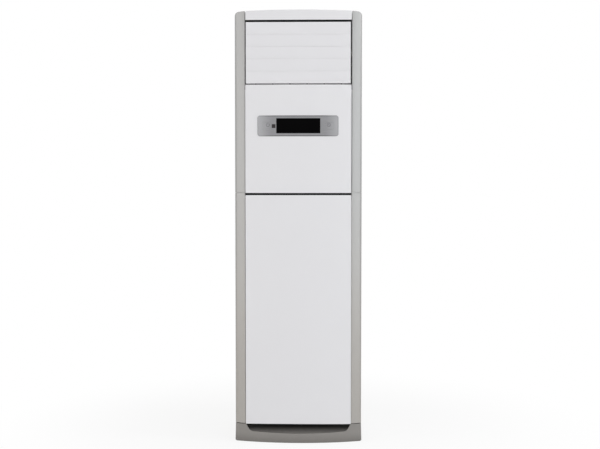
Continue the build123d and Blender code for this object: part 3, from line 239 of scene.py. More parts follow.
def barSheet(startX, endX, lowY, highY, lowZ, highZ):
    # a closed rectangular bar along X
    outline = np.array([(lowY, lowZ), (highY, lowZ), (highY, highZ), (lowY, highZ)])
    return prismSheet(outline, startX, endX, ((lowY + highY) / 2, (lowZ + highZ) / 2))


def feed(tree, socket, value):
    # links an input to another node's socket, or gives it a value
    if isinstance(value, bpy.types.NodeSocket):
        tree.links.new(value, socket)
    else:
        socket.default_value = value


def addNode(tree, kind, settings=None, *fed, **inputs):
    # a node, its settings, and its inputs, fed in their order or by name
    node = tree.nodes.new(kind)
    for key, value in (settings or {}).items():
        setattr(node, key, value)
    for socket, value in zip(node.inputs, fed):
        feed(tree, socket, value)
    for key, value in inputs.items():
        feed(tree, node.inputs[key.replace("_", " ")], value)
    return node


def groupNode(tree, group, **inputs):
    return addNode(tree, "ShaderNodeGroup", {"node_tree": group}, **inputs)


def mathNode(tree, operation, first, second):
    return addNode(tree, "ShaderNodeMath", {"operation": operation}, first, second).outputs[0]


def smoothRange(tree, value, **inputs):
    # from 0 to 1 with soft ends, unless the inputs name other limits
    smooth = {"interpolation_type": "SMOOTHSTEP"}
    return addNode(tree, "ShaderNodeMapRange", smooth, Value=value, **inputs).outputs["Result"]


def blendColors(tree, share, first, second):
    # the first colour where the share is 0, the second where it is 1
    blend = addNode(tree, "ShaderNodeMix", {"data_type": "RGBA"})
    for index, value in ((0, share), (6, first), (7, second)):  # 6 and 7 are the pair of colours
        feed(tree, blend.inputs[index], value)
    return blend.outputs[2]


def objectPlace(tree):
    return addNode(tree, "ShaderNodeTexCoord").outputs["Object"]


def newGroup(name, inputs, outputs):
    # inputs and outputs are labels with the kinds of their sockets
    group = bpy.data.node_groups.new(name, "ShaderNodeTree")
    for side, sockets in (("INPUT", inputs), ("OUTPUT", outputs)):
        for label, kind in sockets.items():
            group.interface.new_socket(name=label, in_out=side, socket_type="NodeSocket" + kind)
    return group, group.nodes.new("NodeGroupInput").outputs, group.nodes.new("NodeGroupOutput").inputs


def grainGroup():
    # fine grain for the skin of a moulding or paint, and slow patches over a hand's width
    group, given, out = newGroup("mouldGrain", {"Grain Scale": "Float", "Patch Scale": "Float"},
                                 {"Grain": "Float", "Patch": "Float"})
    place = objectPlace(group)
    for label, detail, roughness in (("Grain", 3.0, 0.6), ("Patch", 2.0, 0.5)):
        noise = addNode(group, "ShaderNodeTexNoise", Vector=place, Scale=given[label + " Scale"],
                        Detail=detail, Roughness=roughness)
        feed(group, out[label], noise.outputs["Fac"])
    return group


def dustGroup():
    # dust that settles where a surface faces up, in soft patches
    group, given, out = newGroup("settledDust", {"Color": "Color", "Dust": "Color", "Amount": "Float"},
                                 {"Color": "Color"})
    normal = addNode(group, "ShaderNodeNewGeometry").outputs["Normal"]
    up = addNode(group, "ShaderNodeSeparateXYZ", Vector=normal).outputs["Z"]
    facing = smoothRange(group, up, From_Min=0.6, From_Max=1.0)
    patches = addNode(group, "ShaderNodeTexNoise", Vector=objectPlace(group), Scale=14.0, Detail=6.0,
                      Roughness=0.65)
    share = mathNode(group, "MULTIPLY", facing, patches.outputs["Fac"])
    amount = mathNode(group, "MULTIPLY", share, given["Amount"])
    feed(group, out["Color"], blendColors(group, amount, given["Color"], given["Dust"]))
    return group


def cellGroup():
    # crystals or flakes: each cell of a pattern has its own value, from 0 to 1
    group, given, out = newGroup("metalCells", {"Scale": "Float", "Stretch": "Vector"},
                                 {"Value": "Float"})
    stretched = addNode(group, "ShaderNodeMapping", Vector=objectPlace(group), Scale=given["Stretch"])
    cells = addNode(group, "ShaderNodeTexVoronoi", Vector=stretched.outputs["Vector"],
                    Scale=given["Scale"])
    value = addNode(group, "ShaderNodeSeparateColor", Color=cells.outputs["Color"])
    feed(group, out["Value"], value.outputs["Red"])
    return group


def paintedToneGroup():
    # painted light and shade: goes from one colour to another between two distances from the middle
    # along Direction
    group, given, out = newGroup("paintedToneBlend", {"Color": "Color", "Other": "Color", "From": "Float",
                                                 "To": "Float", "Direction": "Vector"},
                                 {"Color": "Color"})
    away = addNode(group, "ShaderNodeVectorMath", {"operation": "ABSOLUTE"}, objectPlace(group))
    reach = addNode(group, "ShaderNodeVectorMath", {"operation": "DOT_PRODUCT"},
                    away.outputs["Vector"], given["Direction"])
    share = smoothRange(group, reach.outputs["Value"], From_Min=given["From"], From_Max=given["To"])
    feed(group, out["Color"], blendColors(group, share, given["Color"], given["Other"]))
    return group


grain, dust, cells, paintedTones = grainGroup(), dustGroup(), cellGroup(), paintedToneGroup()

usualFinish = {  # what a finish is where it doesn't say otherwise
    "patchScale": 3, "cellStretch": (1, 1, 1), "direction": (0, 0, 1), "metallic": 0,
    "coat": 0.0, "coatRoughness": 0.12, "specular": 0.5, "bumpDepth": 0.0004,
    "dust": (0.55, 0.53, 0.50), "dustAmount": 0.12,
}


def finishMaterial(name, values):
    # one finish: two near colours over slow patches, a grain in the skin, and dust where it faces up
    f = usualFinish | values
    material = bpy.data.materials.new(name)
    material.use_nodes = True
    tree = material.node_tree
    skin = groupNode(tree, grain, Grain_Scale=f["grainScale"], Patch_Scale=f["patchScale"])
    share = skin.outputs["Patch"]
    if "cellScale" in f:  # crystals, flakes or brushing take the place of the slow patches
        pattern = groupNode(tree, cells, Scale=f["cellScale"], Stretch=f["cellStretch"])
        share = pattern.outputs["Value"]
    color = blendColors(tree, share, (*f["color"], 1), (*f["second"], 1))
    # painted light and shade: where a finish gives a painted tone, it takes over towards one end
    if "paintedTone" in f:  # another tone towards one end
        rise = groupNode(tree, paintedTones, Color=color, Other=(*f["paintedTone"], 1), From=f["from"], To=f["to"],
                         Direction=f["direction"])
        color = rise.outputs["Color"]
    dusty = groupNode(tree, dust, Color=color, Dust=(*f["dust"], 1), Amount=f["dustAmount"])
    low, high = f["roughness"]
    rough = addNode(tree, "ShaderNodeMapRange", Value=skin.outputs["Grain"], To_Min=low, To_Max=high)
    bump = addNode(tree, "ShaderNodeBump", Height=skin.outputs["Grain"], Strength=f["bump"],
                   Distance=f["bumpDepth"])
    looks = {"Base Color": dusty.outputs["Color"], "Roughness": rough.outputs["Result"],
             "Metallic": f["metallic"], "Coat Weight": f["coat"], "Coat Roughness": f["coatRoughness"],
             "Specular IOR Level": f["specular"], "Normal": bump.outputs["Normal"]}
    for label, value in looks.items():
        feed(tree, tree.nodes["Principled BSDF"].inputs[label], value)
    return material


# color and second are mixed over each surface; a painted tone of light and shade takes over between two
# distances, from and to
finishes = {
    "panel_white": {
        "color": (0.746, 0.743, 0.764), "second": (0.766, 0.763, 0.782), "grainScale": 700,
        "roughness": (0.26, 0.36), "bump": 0.06, "coat": 0.25,
    },
    "blade_white": {
        "color": (0.733, 0.729, 0.752), "second": (0.758, 0.754, 0.774), "grainScale": 650,
        "roughness": (0.32, 0.42), "bump": 0.08, "coat": 0.15,
    },
    # painted reflection: the trims turn warmer towards the floor, as if they reflect it, and neutral
    # higher up
    "trim_silver": {
        "color": (0.345, 0.328, 0.308), "second": (0.380, 0.362, 0.340), "grainScale": 900,
        "cellScale": 2600, "roughness": (0.40, 0.52), "bump": 0.05, "metallic": 0.35,
        "coat": 0.10, "paintedTone": (0.330, 0.330, 0.328), "from": 0.10, "to": 1.30,
    },
    # painted shade: the plinth is darker towards the floor and lighter from the height of the scoop's
    # lip upwards
    "plinth_grey": {
        "color": (0.160, 0.150, 0.140), "second": (0.175, 0.165, 0.154), "grainScale": 850,
        "roughness": (0.38, 0.52), "bump": 0.16, "metallic": 0.10, "coat": 0.1,
        "paintedTone": (0.240, 0.228, 0.214), "from": -0.006, "to": 0.044,
    },
    # painted shade: the scoop's hollow goes near black towards its top, where it lies deep under the
    # lower panel
    "scoop_painted_shade": {
        "color": (0.160, 0.152, 0.144), "second": (0.176, 0.167, 0.158), "grainScale": 850,
        "roughness": (0.45, 0.60), "bump": 0.16, "specular": 0.1, "paintedTone": (0.006, 0.006, 0.005),
        "from": 0.036, "to": 0.064,
    },
    "sheet_paint": {
        "color": (0.600, 0.600, 0.598), "second": (0.625, 0.625, 0.620), "grainScale": 420,
        "roughness": (0.42, 0.56), "bump": 0.22,
    },
    "galvanised": {
        "color": (0.50, 0.51, 0.52), "second": (0.62, 0.63, 0.64), "grainScale": 500,
        "cellScale": 170, "roughness": (0.28, 0.48), "bump": 0.05, "metallic": 0.9,
    },
    "screw_steel": {
        "color": (0.58, 0.58, 0.57), "second": (0.68, 0.68, 0.67), "grainScale": 900,
        "roughness": (0.22, 0.36), "bump": 0.05, "metallic": 1,
    },
    # dark plastic of its own, made darker still as painted shade in the slit above the louvres
    "outlet_dark": {
        "color": (0.011, 0.011, 0.012), "second": (0.017, 0.017, 0.018), "grainScale": 800,
        "roughness": (0.50, 0.66), "bump": 0.20, "dustAmount": 0.05,
    },
    "vane_grey": {
        "color": (0.085, 0.085, 0.090), "second": (0.100, 0.100, 0.105), "grainScale": 800,
        "roughness": (0.44, 0.58), "bump": 0.18, "dustAmount": 0.05,
    },
    # painted sheen: the bezel turns lighter towards its left and right ends
    "bezel_silver": {
        "color": (0.258, 0.258, 0.268), "second": (0.290, 0.290, 0.302), "grainScale": 900,
        "cellScale": 900, "cellStretch": (0.05, 1, 1), "roughness": (0.30, 0.42), "bump": 0.04,
        "metallic": 0.7, "paintedTone": (0.392, 0.392, 0.407), "from": 0.105, "to": 0.172,
        "direction": (1, 0, 0),
    },
    # painted shade: the bezel's border is darker than its plate, with the same painted sheen towards the
    # ends
    "bezel_edge_painted_shade": {
        "color": (0.100, 0.100, 0.105), "second": (0.118, 0.118, 0.124), "grainScale": 900,
        "roughness": (0.26, 0.36), "bump": 0.04, "metallic": 0.7, "paintedTone": (0.300, 0.300, 0.312),
        "from": 0.105, "to": 0.172, "direction": (1, 0, 0),
    },
    "window_black": {
        "color": (0.0012, 0.0012, 0.0014), "second": (0.0018, 0.0016, 0.0018), "grainScale": 300,
        "roughness": (0.05, 0.09), "bump": 0.01, "dustAmount": 0.02, "specular": 0.02,
    },
    "receiver_grey": {
        "color": (0.040, 0.036, 0.038), "second": (0.050, 0.045, 0.047), "grainScale": 300,
        "roughness": (0.12, 0.18), "bump": 0.01, "dustAmount": 0.02, "specular": 0.1,
    },
    # painted shade: near black that stands for the shade in the slit between the lower panel and the
    # display panel
    "gap_painted_shade": {
        "color": (0.004, 0.004, 0.004), "second": (0.006, 0.006, 0.006), "grainScale": 700,
        "roughness": (0.6, 0.8), "bump": 0.1, "dustAmount": 0.02, "specular": 0.1,
    },
    "motor_white": {
        "color": (0.70, 0.70, 0.67), "second": (0.74, 0.74, 0.71), "grainScale": 600,
        "roughness": (0.42, 0.55), "bump": 0.10,
    },
    "foam": {
        "color": (0.80, 0.80, 0.78), "second": (0.88, 0.88, 0.86), "grainScale": 260,
        "cellScale": 260, "roughness": (0.75, 0.9), "bump": 0.5,
    },
    "filter_grey": {
        "color": (0.055, 0.062, 0.072), "second": (0.080, 0.088, 0.098), "grainScale": 900,
        "roughness": (0.5, 0.65), "bump": 0.3,
    },
    "rail_plastic": {
        "color": (0.66, 0.66, 0.66), "second": (0.70, 0.70, 0.70), "grainScale": 700,
        "roughness": (0.40, 0.54), "bump": 0.10,
    },
    "blower_plastic": {
        "color": (0.045, 0.045, 0.048), "second": (0.060, 0.060, 0.064), "grainScale": 600,
        "roughness": (0.42, 0.58), "bump": 0.14,
    },
    "motor_paint": {
        "color": (0.030, 0.030, 0.033), "second": (0.045, 0.045, 0.048), "grainScale": 500,
        "roughness": (0.34, 0.50), "bump": 0.10, "metallic": 0.3,
    },
    "fin_aluminium": {
        "color": (0.68, 0.69, 0.70), "second": (0.80, 0.81, 0.82), "grainScale": 400,
        "roughness": (0.25, 0.42), "bump": 0.05, "metallic": 1,
    },
    "copper": {
        "color": (0.62, 0.27, 0.15), "second": (0.80, 0.42, 0.27), "grainScale": 300,
        "patchScale": 18, "roughness": (0.22, 0.42), "bump": 0.04, "metallic": 1,
    },
    "nut_brass": {
        "color": (0.62, 0.46, 0.20), "second": (0.76, 0.60, 0.30), "grainScale": 500,
        "roughness": (0.22, 0.36), "bump": 0.04, "metallic": 1,
    },
    "rubber_black": {
        "color": (0.018, 0.018, 0.018), "second": (0.030, 0.030, 0.029), "grainScale": 700,
        "roughness": (0.62, 0.8), "bump": 0.25,
    },
    "board_green": {
        "color": (0.012, 0.080, 0.036), "second": (0.030, 0.150, 0.070), "grainScale": 500,
        "cellScale": 320, "cellStretch": (1, 1, 0.2), "roughness": (0.24, 0.4), "bump": 0.1,
    },
    "terminal_ivory": {
        "color": (0.70, 0.64, 0.50), "second": (0.76, 0.70, 0.56), "grainScale": 700,
        "roughness": (0.38, 0.5), "bump": 0.1,
    },
    "mark_ink": {
        "color": (0.085, 0.085, 0.095), "second": (0.11, 0.11, 0.12), "grainScale": 900,
        "roughness": (0.4, 0.5), "bump": 0.02,
    },
}
materials = {name: finishMaterial(name.replace("_", "-"), values) for name, values in finishes.items()}

for row in frame["record"]["subparts"]:
    node = frame["nodes"].get(row["node"])
    if node is not None:
        node.data.materials.clear()
        node.data.materials.append(materials[row["material_slot"]])
# the cross bar behind the slit is coloured near black, as painted shade in the slit
frame["nodes"]["cross_bar"].data.materials[0] = materials["gap_painted_shade"]
print("finishes made:", len(materials))


def lowerPanel():
    # a tray that is open at the back, with a pin at each side near its top
    p = frontPanels
    low, high = p["lowEdge"], p["slit"][0]
    halfX, halfZ = p["half"] + p["wider"], (high - low) / 2
    tray = ringSheet(trayProfile(halfX, p["edgeRadius"], p["returnDepth"], p["wall"]),
                     insetLoop(halfX, halfZ, p["corner"]), bowPlace(p["aside"], (low + high) / 2))
    start, end = p["half"] - p["wall"] / 2, p["half"] - p["wall"] / 2 + p["pinReach"]
    pinY, pinZ = p["frontY"] + p["pinSetIn"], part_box("lower_panel")[1].z - p["pinDrop"]
    pins = [rodSheet(side * start, side * end, pinY, pinZ, p["pinRadius"]) for side in (-1, 1)]
    addPiece("lowerPanel", [tray] + pins, "lower_panel", "panel_white", ["lower_panel"])


def displayPanel():
    # the face from the opening out, over the edge, round the rim and along the inside to the opening
    p = frontPanels
    low, high = p["slit"][1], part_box("display_panel")[1].z + p["displayTop"]
    centreZ = (low + high) / 2
    (_, _, bezelZ), (bezelHalfX, _, bezelHalfZ) = middleHalf(*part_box("display_bezel"))
    hole = roundedLoop(bezelHalfX - p["holeLap"], bezelHalfZ - p["holeLap"], p["holeCorner"])
    hole += [-p["aside"], bezelZ - centreZ]
    outline = insetLoop(p["half"] + p["wider"], (high - low) / 2, p["corner"])
    place = bowPlace(p["aside"], centreZ)
    edge, inner = outline(p["edgeRadius"] * meshing["faceEnd"]), outline(p["wall"])
    shares = np.linspace(0, 1, p["rings"])
    face = [place(hole * (1 - s) + edge * s, 0) for s in shares]
    over = [place(outline(inset), depth) for inset, depth in roundOver(p["edgeRadius"])]
    back = [place(outline(0), p["returnDepth"]), place(inner, p["returnDepth"]), place(inner, p["wall"])]
    inside = [place(hole * s + inner * (1 - s), p["wall"]) for s in shares]
    sheet = np.stack(face + over + back + inside + [face[0]]), True
    addPiece("displayPanel", [sheet], "cabinet", "panel_white", ["display_panel"])


topShape = {
    "half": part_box("top_cover")[1].x, "top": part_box("top_cover")[1].z,
    "crownRadius": 5.3, "cornerRadius": 0.018,
    "gap": 0.0005,  # beside and behind the trims
    "wall": 0.0022, "edge": 0.0015,
}


def crownZ(x):
    # the top's outline seen from the front: a wide arc that ends in a quarter circle at each corner
    t = topShape
    x = np.abs(x)
    shoulder = t["half"] - t["cornerRadius"]
    arc = t["top"] - bowDepth(np.minimum(x, shoulder), t["crownRadius"])
    past = np.clip(x - shoulder, 0, t["cornerRadius"])
    return arc - (t["cornerRadius"] - np.sqrt(t["cornerRadius"]**2 - past**2))


def topCover():
    # the roof with its tongue between the trims, and a wall down at the rear
    t = topShape
    low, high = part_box("top_cover")
    tongueX, jointY = trimShape["innerX"] - t["gap"], trimShape["rearY"] + t["gap"]
    corner = t["half"] - t["cornerRadius"] * (1 - np.sin(np.linspace(0, pi / 2, 14)))
    beside = np.linspace(tongueX, corner[0], 4)[1:]
    half = np.concatenate([np.linspace(0, tongueX, 30), beside, corner[1:]])
    x = np.concatenate([-half[:0:-1], half])
    z = np.concatenate([[low.z], crownZ(x), [low.z]])
    x = np.concatenate([[x[0]], x, [x[-1]]])

    def line(y, paintedTones, within=slice(None)):
        return np.stack([x[within], np.full(len(x), y)[within], paintedTones[within]], -1)

    roof = np.stack([line(y, z) for y in np.linspace(jointY, high.y, 12)])
    rear = np.stack([line(high.y, z * (1 - s) + low.z * s) for s in (0, 0.5, 1)])
    within = np.abs(x) <= tongueX + meshing["slack"]
    tongue = np.stack([line(y, z, within) for y in np.linspace(low.y, jointY, 4)])
    addPiece("topCover", [(roof, False), (rear, False), (tongue, False)], "cabinet", "trim_silver",
             ["top_cover"], wall=t["wall"], edge=t["edge"])


fasciaShape = {
    "lowCut": 0.0014,  # above the solid's lower edge
    "wider": 0.0003, "aside": 0.0013, "corner": 0.002,
    "lowDepth": 0.004,  # how far the lower half's sides reach back
    "rings": 10, "straight": 22,
}


def topFascia():
    p, f = frontPanels, fasciaShape
    low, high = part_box("top_fascia")
    lowZ = low.z + f["lowCut"]
    halfZ, centreZ = (high.z - lowZ) / 2, (high.z + lowZ) / 2
    deepest, shallow = (high.y - p["frontY"]) / p["returnDepth"], f["lowDepth"] / p["returnDepth"]

    def place(loop, depth):
        # the upper half follows the crown, and its walls reach further back than the lower ones
        x = loop[:, 0] + f["aside"]
        share = np.clip((loop[:, 1] + halfZ) / (2 * halfZ), 0, 1)
        drop = topShape["top"] - crownZ(x)
        deeper = depth * (shallow + (deepest - shallow) * np.clip(share * 2 - 1, 0, 1))
        y = np.where(depth > p["wall"], p["frontY"] + deeper, panelY(x) + depth)
        return np.stack([x, y, centreZ + loop[:, 1] - share * drop], -1)

    sheet = ringSheet(trayProfile(halfZ, p["edgeRadius"], p["returnDepth"], p["wall"], f["rings"]),
                      insetLoop(p["half"] + f["wider"], halfZ, f["corner"], f["straight"]), place)
    addPiece("topFascia", [sheet], "cabinet", "panel_white", ["top_fascia"])


trimShape = {
    "innerX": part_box("lower_trim_right")[0].x, "outerX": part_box("lower_trim_right")[1].x,
    "rearY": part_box("lower_trim_right")[1].y,
    "stepBack": 0.002,  # of the inner edge behind the panels
    "setback": 0.017,  # of the outer corner behind the inner edge
    "bulge": 0.0014, "cornerRadius": 0.013, "wall": 0.0022, "edge": 0.0010,
    "clear": 0.0045,  # nearer to the inner edge a point would fold the wall's inside
    "footGap": 0.0025,
    "further": {"upper_trim_right": 0.0018},  # its inner edge is this much further out
    "lower": {"returnDepth": 0.033, "arcPoints": 10},
    "upper": {"returnDepth": 0.005, "arcPoints": 8},
}


def trimPlan(returnDepth, arcPoints, further):
    # the right-hand trim from above: inner return, raked and bulged front, round corner, straight side
    t = trimShape
    frontY = panelY(frontPanels["half"]) + t["stepBack"]
    innerX = t["innerX"] + further
    inner, corner = np.array([innerX, frontY]), np.array([t["outerX"], frontY + t["setback"]])
    run = corner - inner
    length = sqrt(run @ run)
    out = np.array([run[1], -run[0]]) / length
    share = np.linspace(0, 1, 40)[:, None]
    front = inner + run * share + out * t["bulge"] * 4 * share * (1 - share)
    reach = t["cornerRadius"] * np.tan(np.arctan2(run[0], run[1]) / 2)  # from the corner to the curve
    along = length * share[:, 0]
    front = front[((along == 0) | (along > t["clear"])) & (length - along > reach)]
    end = corner + np.array([0, reach])
    curve = bend(front[-1], corner, end, arcPoints)
    steps = np.array([0, returnDepth / (t["rearY"] - frontY), 0.6, 0.8, 1])  # from front to rear
    side = np.stack([np.full(4, t["outerX"]), end[1] + (t["rearY"] - end[1]) * steps[1:]], -1)
    back = np.array([[innerX, frontY + returnDepth]])
    return np.concatenate([back, front, curve, side]), len(front) + len(curve), steps


def trimPiece(part, label, side):
    # the lower or upper part of a side trim; the upper one ends along the crown
    t, crowned, node = trimShape, part == "upper", f"{part}_trim_{label}"
    low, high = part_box(node)
    plan, frontCount, steps = trimPlan(**t[part], further=t["further"].get(node, 0))
    lowZ = low.z if crowned else low.z + t["footGap"]

    def topZ(x):
        return crownZ(x) if crowned else np.full(x.shape, high.z)

    x, y = plan.T
    wall = np.stack([np.stack([x, y, lowZ + (topZ(x) - lowZ) * row], -1) for row in (0, 0.02, 0.98, 1)])
    # the ends run back from the front's points to evenly spaced ones along the rear
    front = plan[1:1 + frontCount]
    rearX = np.linspace(front[0, 0], front[-1, 0], frontCount)
    rear = np.stack([rearX, np.full(frontCount, t["rearY"])], -1)
    ends = np.stack([front * (1 - s) + rear * s for s in steps])
    over = topZ(ends[..., 0])
    grids = [wall] + [np.concatenate([ends, z[..., None]], -1) for z in (over, over * 0 + lowZ)]
    addPiece(f"{part}Trim{label.title()}", [(grid * [side, 1, 1], False) for grid in grids], "cabinet",
             "trim_silver", [node], wall=t["wall"], edge=t["edge"])


plinthShape = {
    "half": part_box("plinth_cover")[1].x, "height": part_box("plinth_cover")[1].z - 0.0005,
    "frontY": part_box("plinth_cover")[0].y, "rearY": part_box("plinth_cover")[1].y - 0.0002,
    "bowRadius": 0.95, "cornerRun": 0.0126,
    "scoopHalf": 0.2235, "scoopDepth": 0.046,
    "lipZ": 0.0403, "lipRise": 0.0055, "lipEnd": 0.190,  # the scoop's edge: its level middle part
    "kneeX": 0.2055, "kneeShare": 0.30,  # and the bend up to its slanted ends
    "narrowing": 0.10, "bowlPower": 6, "bowlLeast": 0.04, "coveLeast": 0.004,  # the hollow behind it
    "paintedShadeFrom": 0.0017, "paintedShadeEdge": 0.0135, "paintedShadeBelow": 0.0005,  # where the painted shade starts
    "shelfX": 0.220, "shelfY": -0.130, "shelfEnd": -0.110,  # the ledges beside the scoop
    "draft": 0.0020,  # how far the top is drawn in from the foot
    "wall": 0.0024, "edge": 0.0018, "foot": 0.0045, "rearEnd": 0.2570,
}


def plinthPiece():
    p = plinthShape
    edgeY = p["frontY"] + bowDepth(p["half"], p["bowRadius"])
    # the scoop's edge, from the middle: a lip that rises by the square of x, a round knee, a slanted end
    lipX = np.linspace(0, p["lipEnd"], 44)
    lip = np.stack([lipX, p["lipZ"] + p["lipRise"] * np.square(lipX / p["kneeX"])], -1)
    kneeRise = 2 * p["lipRise"] * p["lipEnd"] / p["kneeX"]**2 * (p["kneeX"] - p["lipEnd"])
    knee = np.array([p["kneeX"], lip[-1, 1] + kneeRise])
    slantEnd = np.array([p["scoopHalf"], p["height"]])
    past = knee + (slantEnd - knee) * p["kneeShare"]
    slant = past + (slantEnd - past) * np.linspace(0, 1, 10)[1:, None]
    scoopX, scoopZ = np.concatenate([lip, bend(lip[-1], knee, past, 12), slant]).T
    # the right half from above: the bowed front, a corner and the side
    frontX = np.concatenate([scoopX, np.linspace(p["scoopHalf"], p["half"] - p["cornerRun"], 8)[1:]])
    front = np.stack([frontX, p["frontY"] + bowDepth(frontX, p["bowRadius"])], -1)
    corner, end = np.array([p["half"], edgeY]), np.array([p["half"], edgeY + p["cornerRun"]])
    side = np.stack([np.full(9, p["half"]), np.linspace(end[1], p["rearY"], 10)[1:]], -1)
    right = np.concatenate([front, bend(front[-1], corner, end, 12), side])
    plan = np.concatenate([right[:0:-1] * [-1, 1], right])
    rightTop = np.concatenate([scoopZ, np.full(len(right) - len(scoopZ), p["height"])])
    topZ = np.concatenate([rightTop[:0:-1], rightTop])
    along = np.gradient(plan, axis=0)
    along /= np.hypot(*along.T)[:, None]
    inward = np.stack([-along[:, 1], along[:, 0]], -1)
    # the upper edge's own direction, along the wall and up, and the way out of the material from it
    run = np.concatenate([[0], np.cumsum(np.hypot(*np.diff(plan, axis=0).T))])
    slope = np.stack([np.gradient(run), np.gradient(topZ)], -1)
    slope /= np.hypot(*slope.T)[:, None]
    out = np.stack([-slope[:, 1], slope[:, 0]], -1)

    def ring(inset, below, z):
        # the wall's line at height z, drawn in by the inset and the draft, and below the edge's own line
        moved = inward * (inset + p["draft"] * z / p["height"])[:, None] - along * (out[:, :1] * below)
        return np.concatenate([plan + moved, z[:, None]], 1)

    level, quarter, edge, foot = np.ones(len(plan)), np.linspace(0, pi / 2, 6), p["edge"], p["foot"]
    start = topZ - out[:, 1] * edge
    rows = [ring(foot * (1 - sin(a)) * level, 0, foot * (1 - cos(a)) * level) for a in quarter]
    rows += [ring(0 * level, edge * s, foot + (start - foot) * s) for s in (0.3, 0.6, 0.85)]
    rows += [ring(edge * (1 - cos(a)) * level, edge * (1 - sin(a)),
                  topZ - out[:, 1] * edge * (1 - sin(a))) for a in quarter]
    rim = rows[-1]
    # each row ends with a short return inwards at the rear
    returnEnds = [[-p["rearEnd"], 0, 0], [p["rearEnd"], 0, 0]]
    turnedIn = [row[[0, -1]] * [0, 1, 1] + returnEnds for row in rows]
    rows = [np.concatenate([ends[:1], row, ends[1:]]) for row, ends in zip(rows, turnedIn)]
    # the scoop is a quarter ellipse: it leaves the lip level, ends upright and narrows as it goes back
    inScoop = (np.abs(plan[:, 0]) <= p["scoopHalf"] + meshing["slack"]) & (plan[:, 1] < edgeY)
    x, y, z = rim[inScoop].T
    bowl = 1 - (np.abs(x) / p["scoopHalf"])**p["bowlPower"]
    bowl = p["scoopDepth"] * np.sqrt(np.clip(bowl, p["bowlLeast"], 1))
    reach = np.maximum(p["frontY"] + bowl - y, p["coveLeast"])
    cove = [np.stack([x * (1 - p["narrowing"] * (1 - cos(a))), y + reach * sin(a),
                      z + (p["height"] - z) * (1 - cos(a))], -1) for a in np.linspace(0, pi / 2, 14)]
    sheets = [(np.stack(rows), False), (np.stack(cove), False)]
    for side in (-1, 1):  # a shelf beside the scoop at each end
        part = (side * plan[:, 0] >= p["scoopHalf"] - meshing["slack"]) & (plan[:, 1] < p["shelfEnd"])
        outer = rim[part]
        inner = np.stack([np.full(len(outer), side * p["shelfX"]), np.maximum(outer[:, 1], p["shelfY"]),
                          outer[:, 2]], -1)
        sheets.append((np.stack([outer * (1 - s) + inner * s for s in np.linspace(0, 1, 4)]), False))
    plinth = addPiece("plinthCover", sheets, "cabinet", "plinth_grey", ["plinth_cover"], wall=p["wall"],
                      even=False)

    # the faces that take the painted shade: back in the scoop, away from the plinth's sides and above
    # its lip
    def inPaintedShade(x, y, z):
        depth = y - p["frontY"] - bowDepth(x, p["bowRadius"])
        deep = depth > p["paintedShadeFrom"] + p["draft"] * z / p["height"]
        return deep & (np.abs(x) < p["half"] - p["paintedShadeEdge"]) & (z > p["lipZ"] - p["paintedShadeBelow"])

    secondFinish(plinth, "scoop_painted_shade", inPaintedShade)


bladeShape = {
    "half": 0.2197, "pitch": 0.0512, "seam": 0.0004,  # between two blades
    "round": 0.0003, "edge": 0.0025, "thick": 0.007, "skin": 0.0013, "core": 0.0012,
    "lip": (0.0016, 0.0024), "lipReach": 0.0016, "rebate": 0.0022,  # the lip reaches up behind the next
    "pivotDepth": 0.017, "pin": 0.0025, "boss": 0.005, "bossInset": 0.0002,
    "web": 0.0025, "webHalf": 0.008, "webInset": 0.0004,
    "crankX": (-0.2275, -0.225), "crank": 0.004, "arm": 0.0039, "crankLength": 0.014,
    "crankPin": 0.002, "pinEnd": -0.2321,
}


def louvreBlade(index):
    # the blade, a web with a boss at each end, the pivot pins and the crank with its own pin
    b, node = bladeShape, f"louvre_blade_{index}"
    low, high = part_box(node)
    front, z = low.y, (low.z + high.z) / 2
    half, r = (b["pitch"] - b["seam"]) / 2, b["round"]
    # the section from above round the back: y from the face, z from the middle
    turn = np.linspace(0, pi / 2, 5)
    topRound = np.stack([r - r * np.cos(turn), half - r + r * np.sin(turn)], -1)
    lowRound = np.stack([r - r * np.sin(turn), -half + r - r * np.cos(turn)], -1)
    lipFront, lipBack = b["lip"]
    lip = np.array([(lipFront, half), (lipFront, half + b["lipReach"]),
                    (lipBack, half + b["lipReach"]), (lipBack, half)])
    rise = np.linspace(half, -half + b["rebate"], 24)
    back = np.stack([b["edge"] + (b["thick"] - b["edge"]) * (1 - np.square(rise / half)), rise], -1)
    rebate = np.array([(b["skin"], -half + b["rebate"]), (b["skin"], -half)])
    parts = [topRound] + ([lip] if index < 5 else []) + [back, rebate, lowRound]
    section = np.concatenate(parts) + [front, z]
    sheets = [prismSheet(section, -b["half"], b["half"], (front + b["core"], z))]
    pivot, end = front + b["pivotDepth"], b["half"] - b["webInset"]
    for side in (-1, 1):
        inner, outer, inset = side * (end - b["web"]), side * end, side * b["bossInset"]
        sheets.append(barSheet(inner, outer, front + b["edge"], pivot,
                               z - b["webHalf"], z + b["webHalf"]))
        sheets.append(rodSheet(inner + inset, outer - inset, pivot, z, b["boss"]))
    crankStart, crankEnd = b["crankX"]
    pinY = pivot + b["crankLength"]
    rods = [(b["half"], high.x, pivot, "pin"), (crankStart, -b["half"], pivot, "pin"),
            (crankStart, crankEnd, pivot, "crank"), (crankStart, crankEnd, pinY, "crank"),
            (b["pinEnd"], crankStart, pinY, "crankPin")]
    sheets += [rodSheet(startX, endX, y, z, b[radius]) for startX, endX, y, radius in rods]
    sheets.append(barSheet(crankStart, crankEnd, pivot, pinY, z - b["arm"], z + b["arm"]))
    addPiece(f"louvreBlade{index}", sheets, f"louvre_{index}", "blade_white", [node])


for index in range(1, 6):
    louvreBlade(index)
lowerPanel()
displayPanel()
topFascia()
for side, label in ((-1, "left"), (1, "right")):
    for part in ("lower", "upper"):
        trimPiece(part, label, side)
plinthPiece()
topCover()
print("outer shells made")


def widened(node, left=0, right=0, up=0):
    # a node's box, made larger at its left, its right and its top
    low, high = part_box(node)
    return low - Vector((left, 0, 0)), high + Vector((right, 0, up))


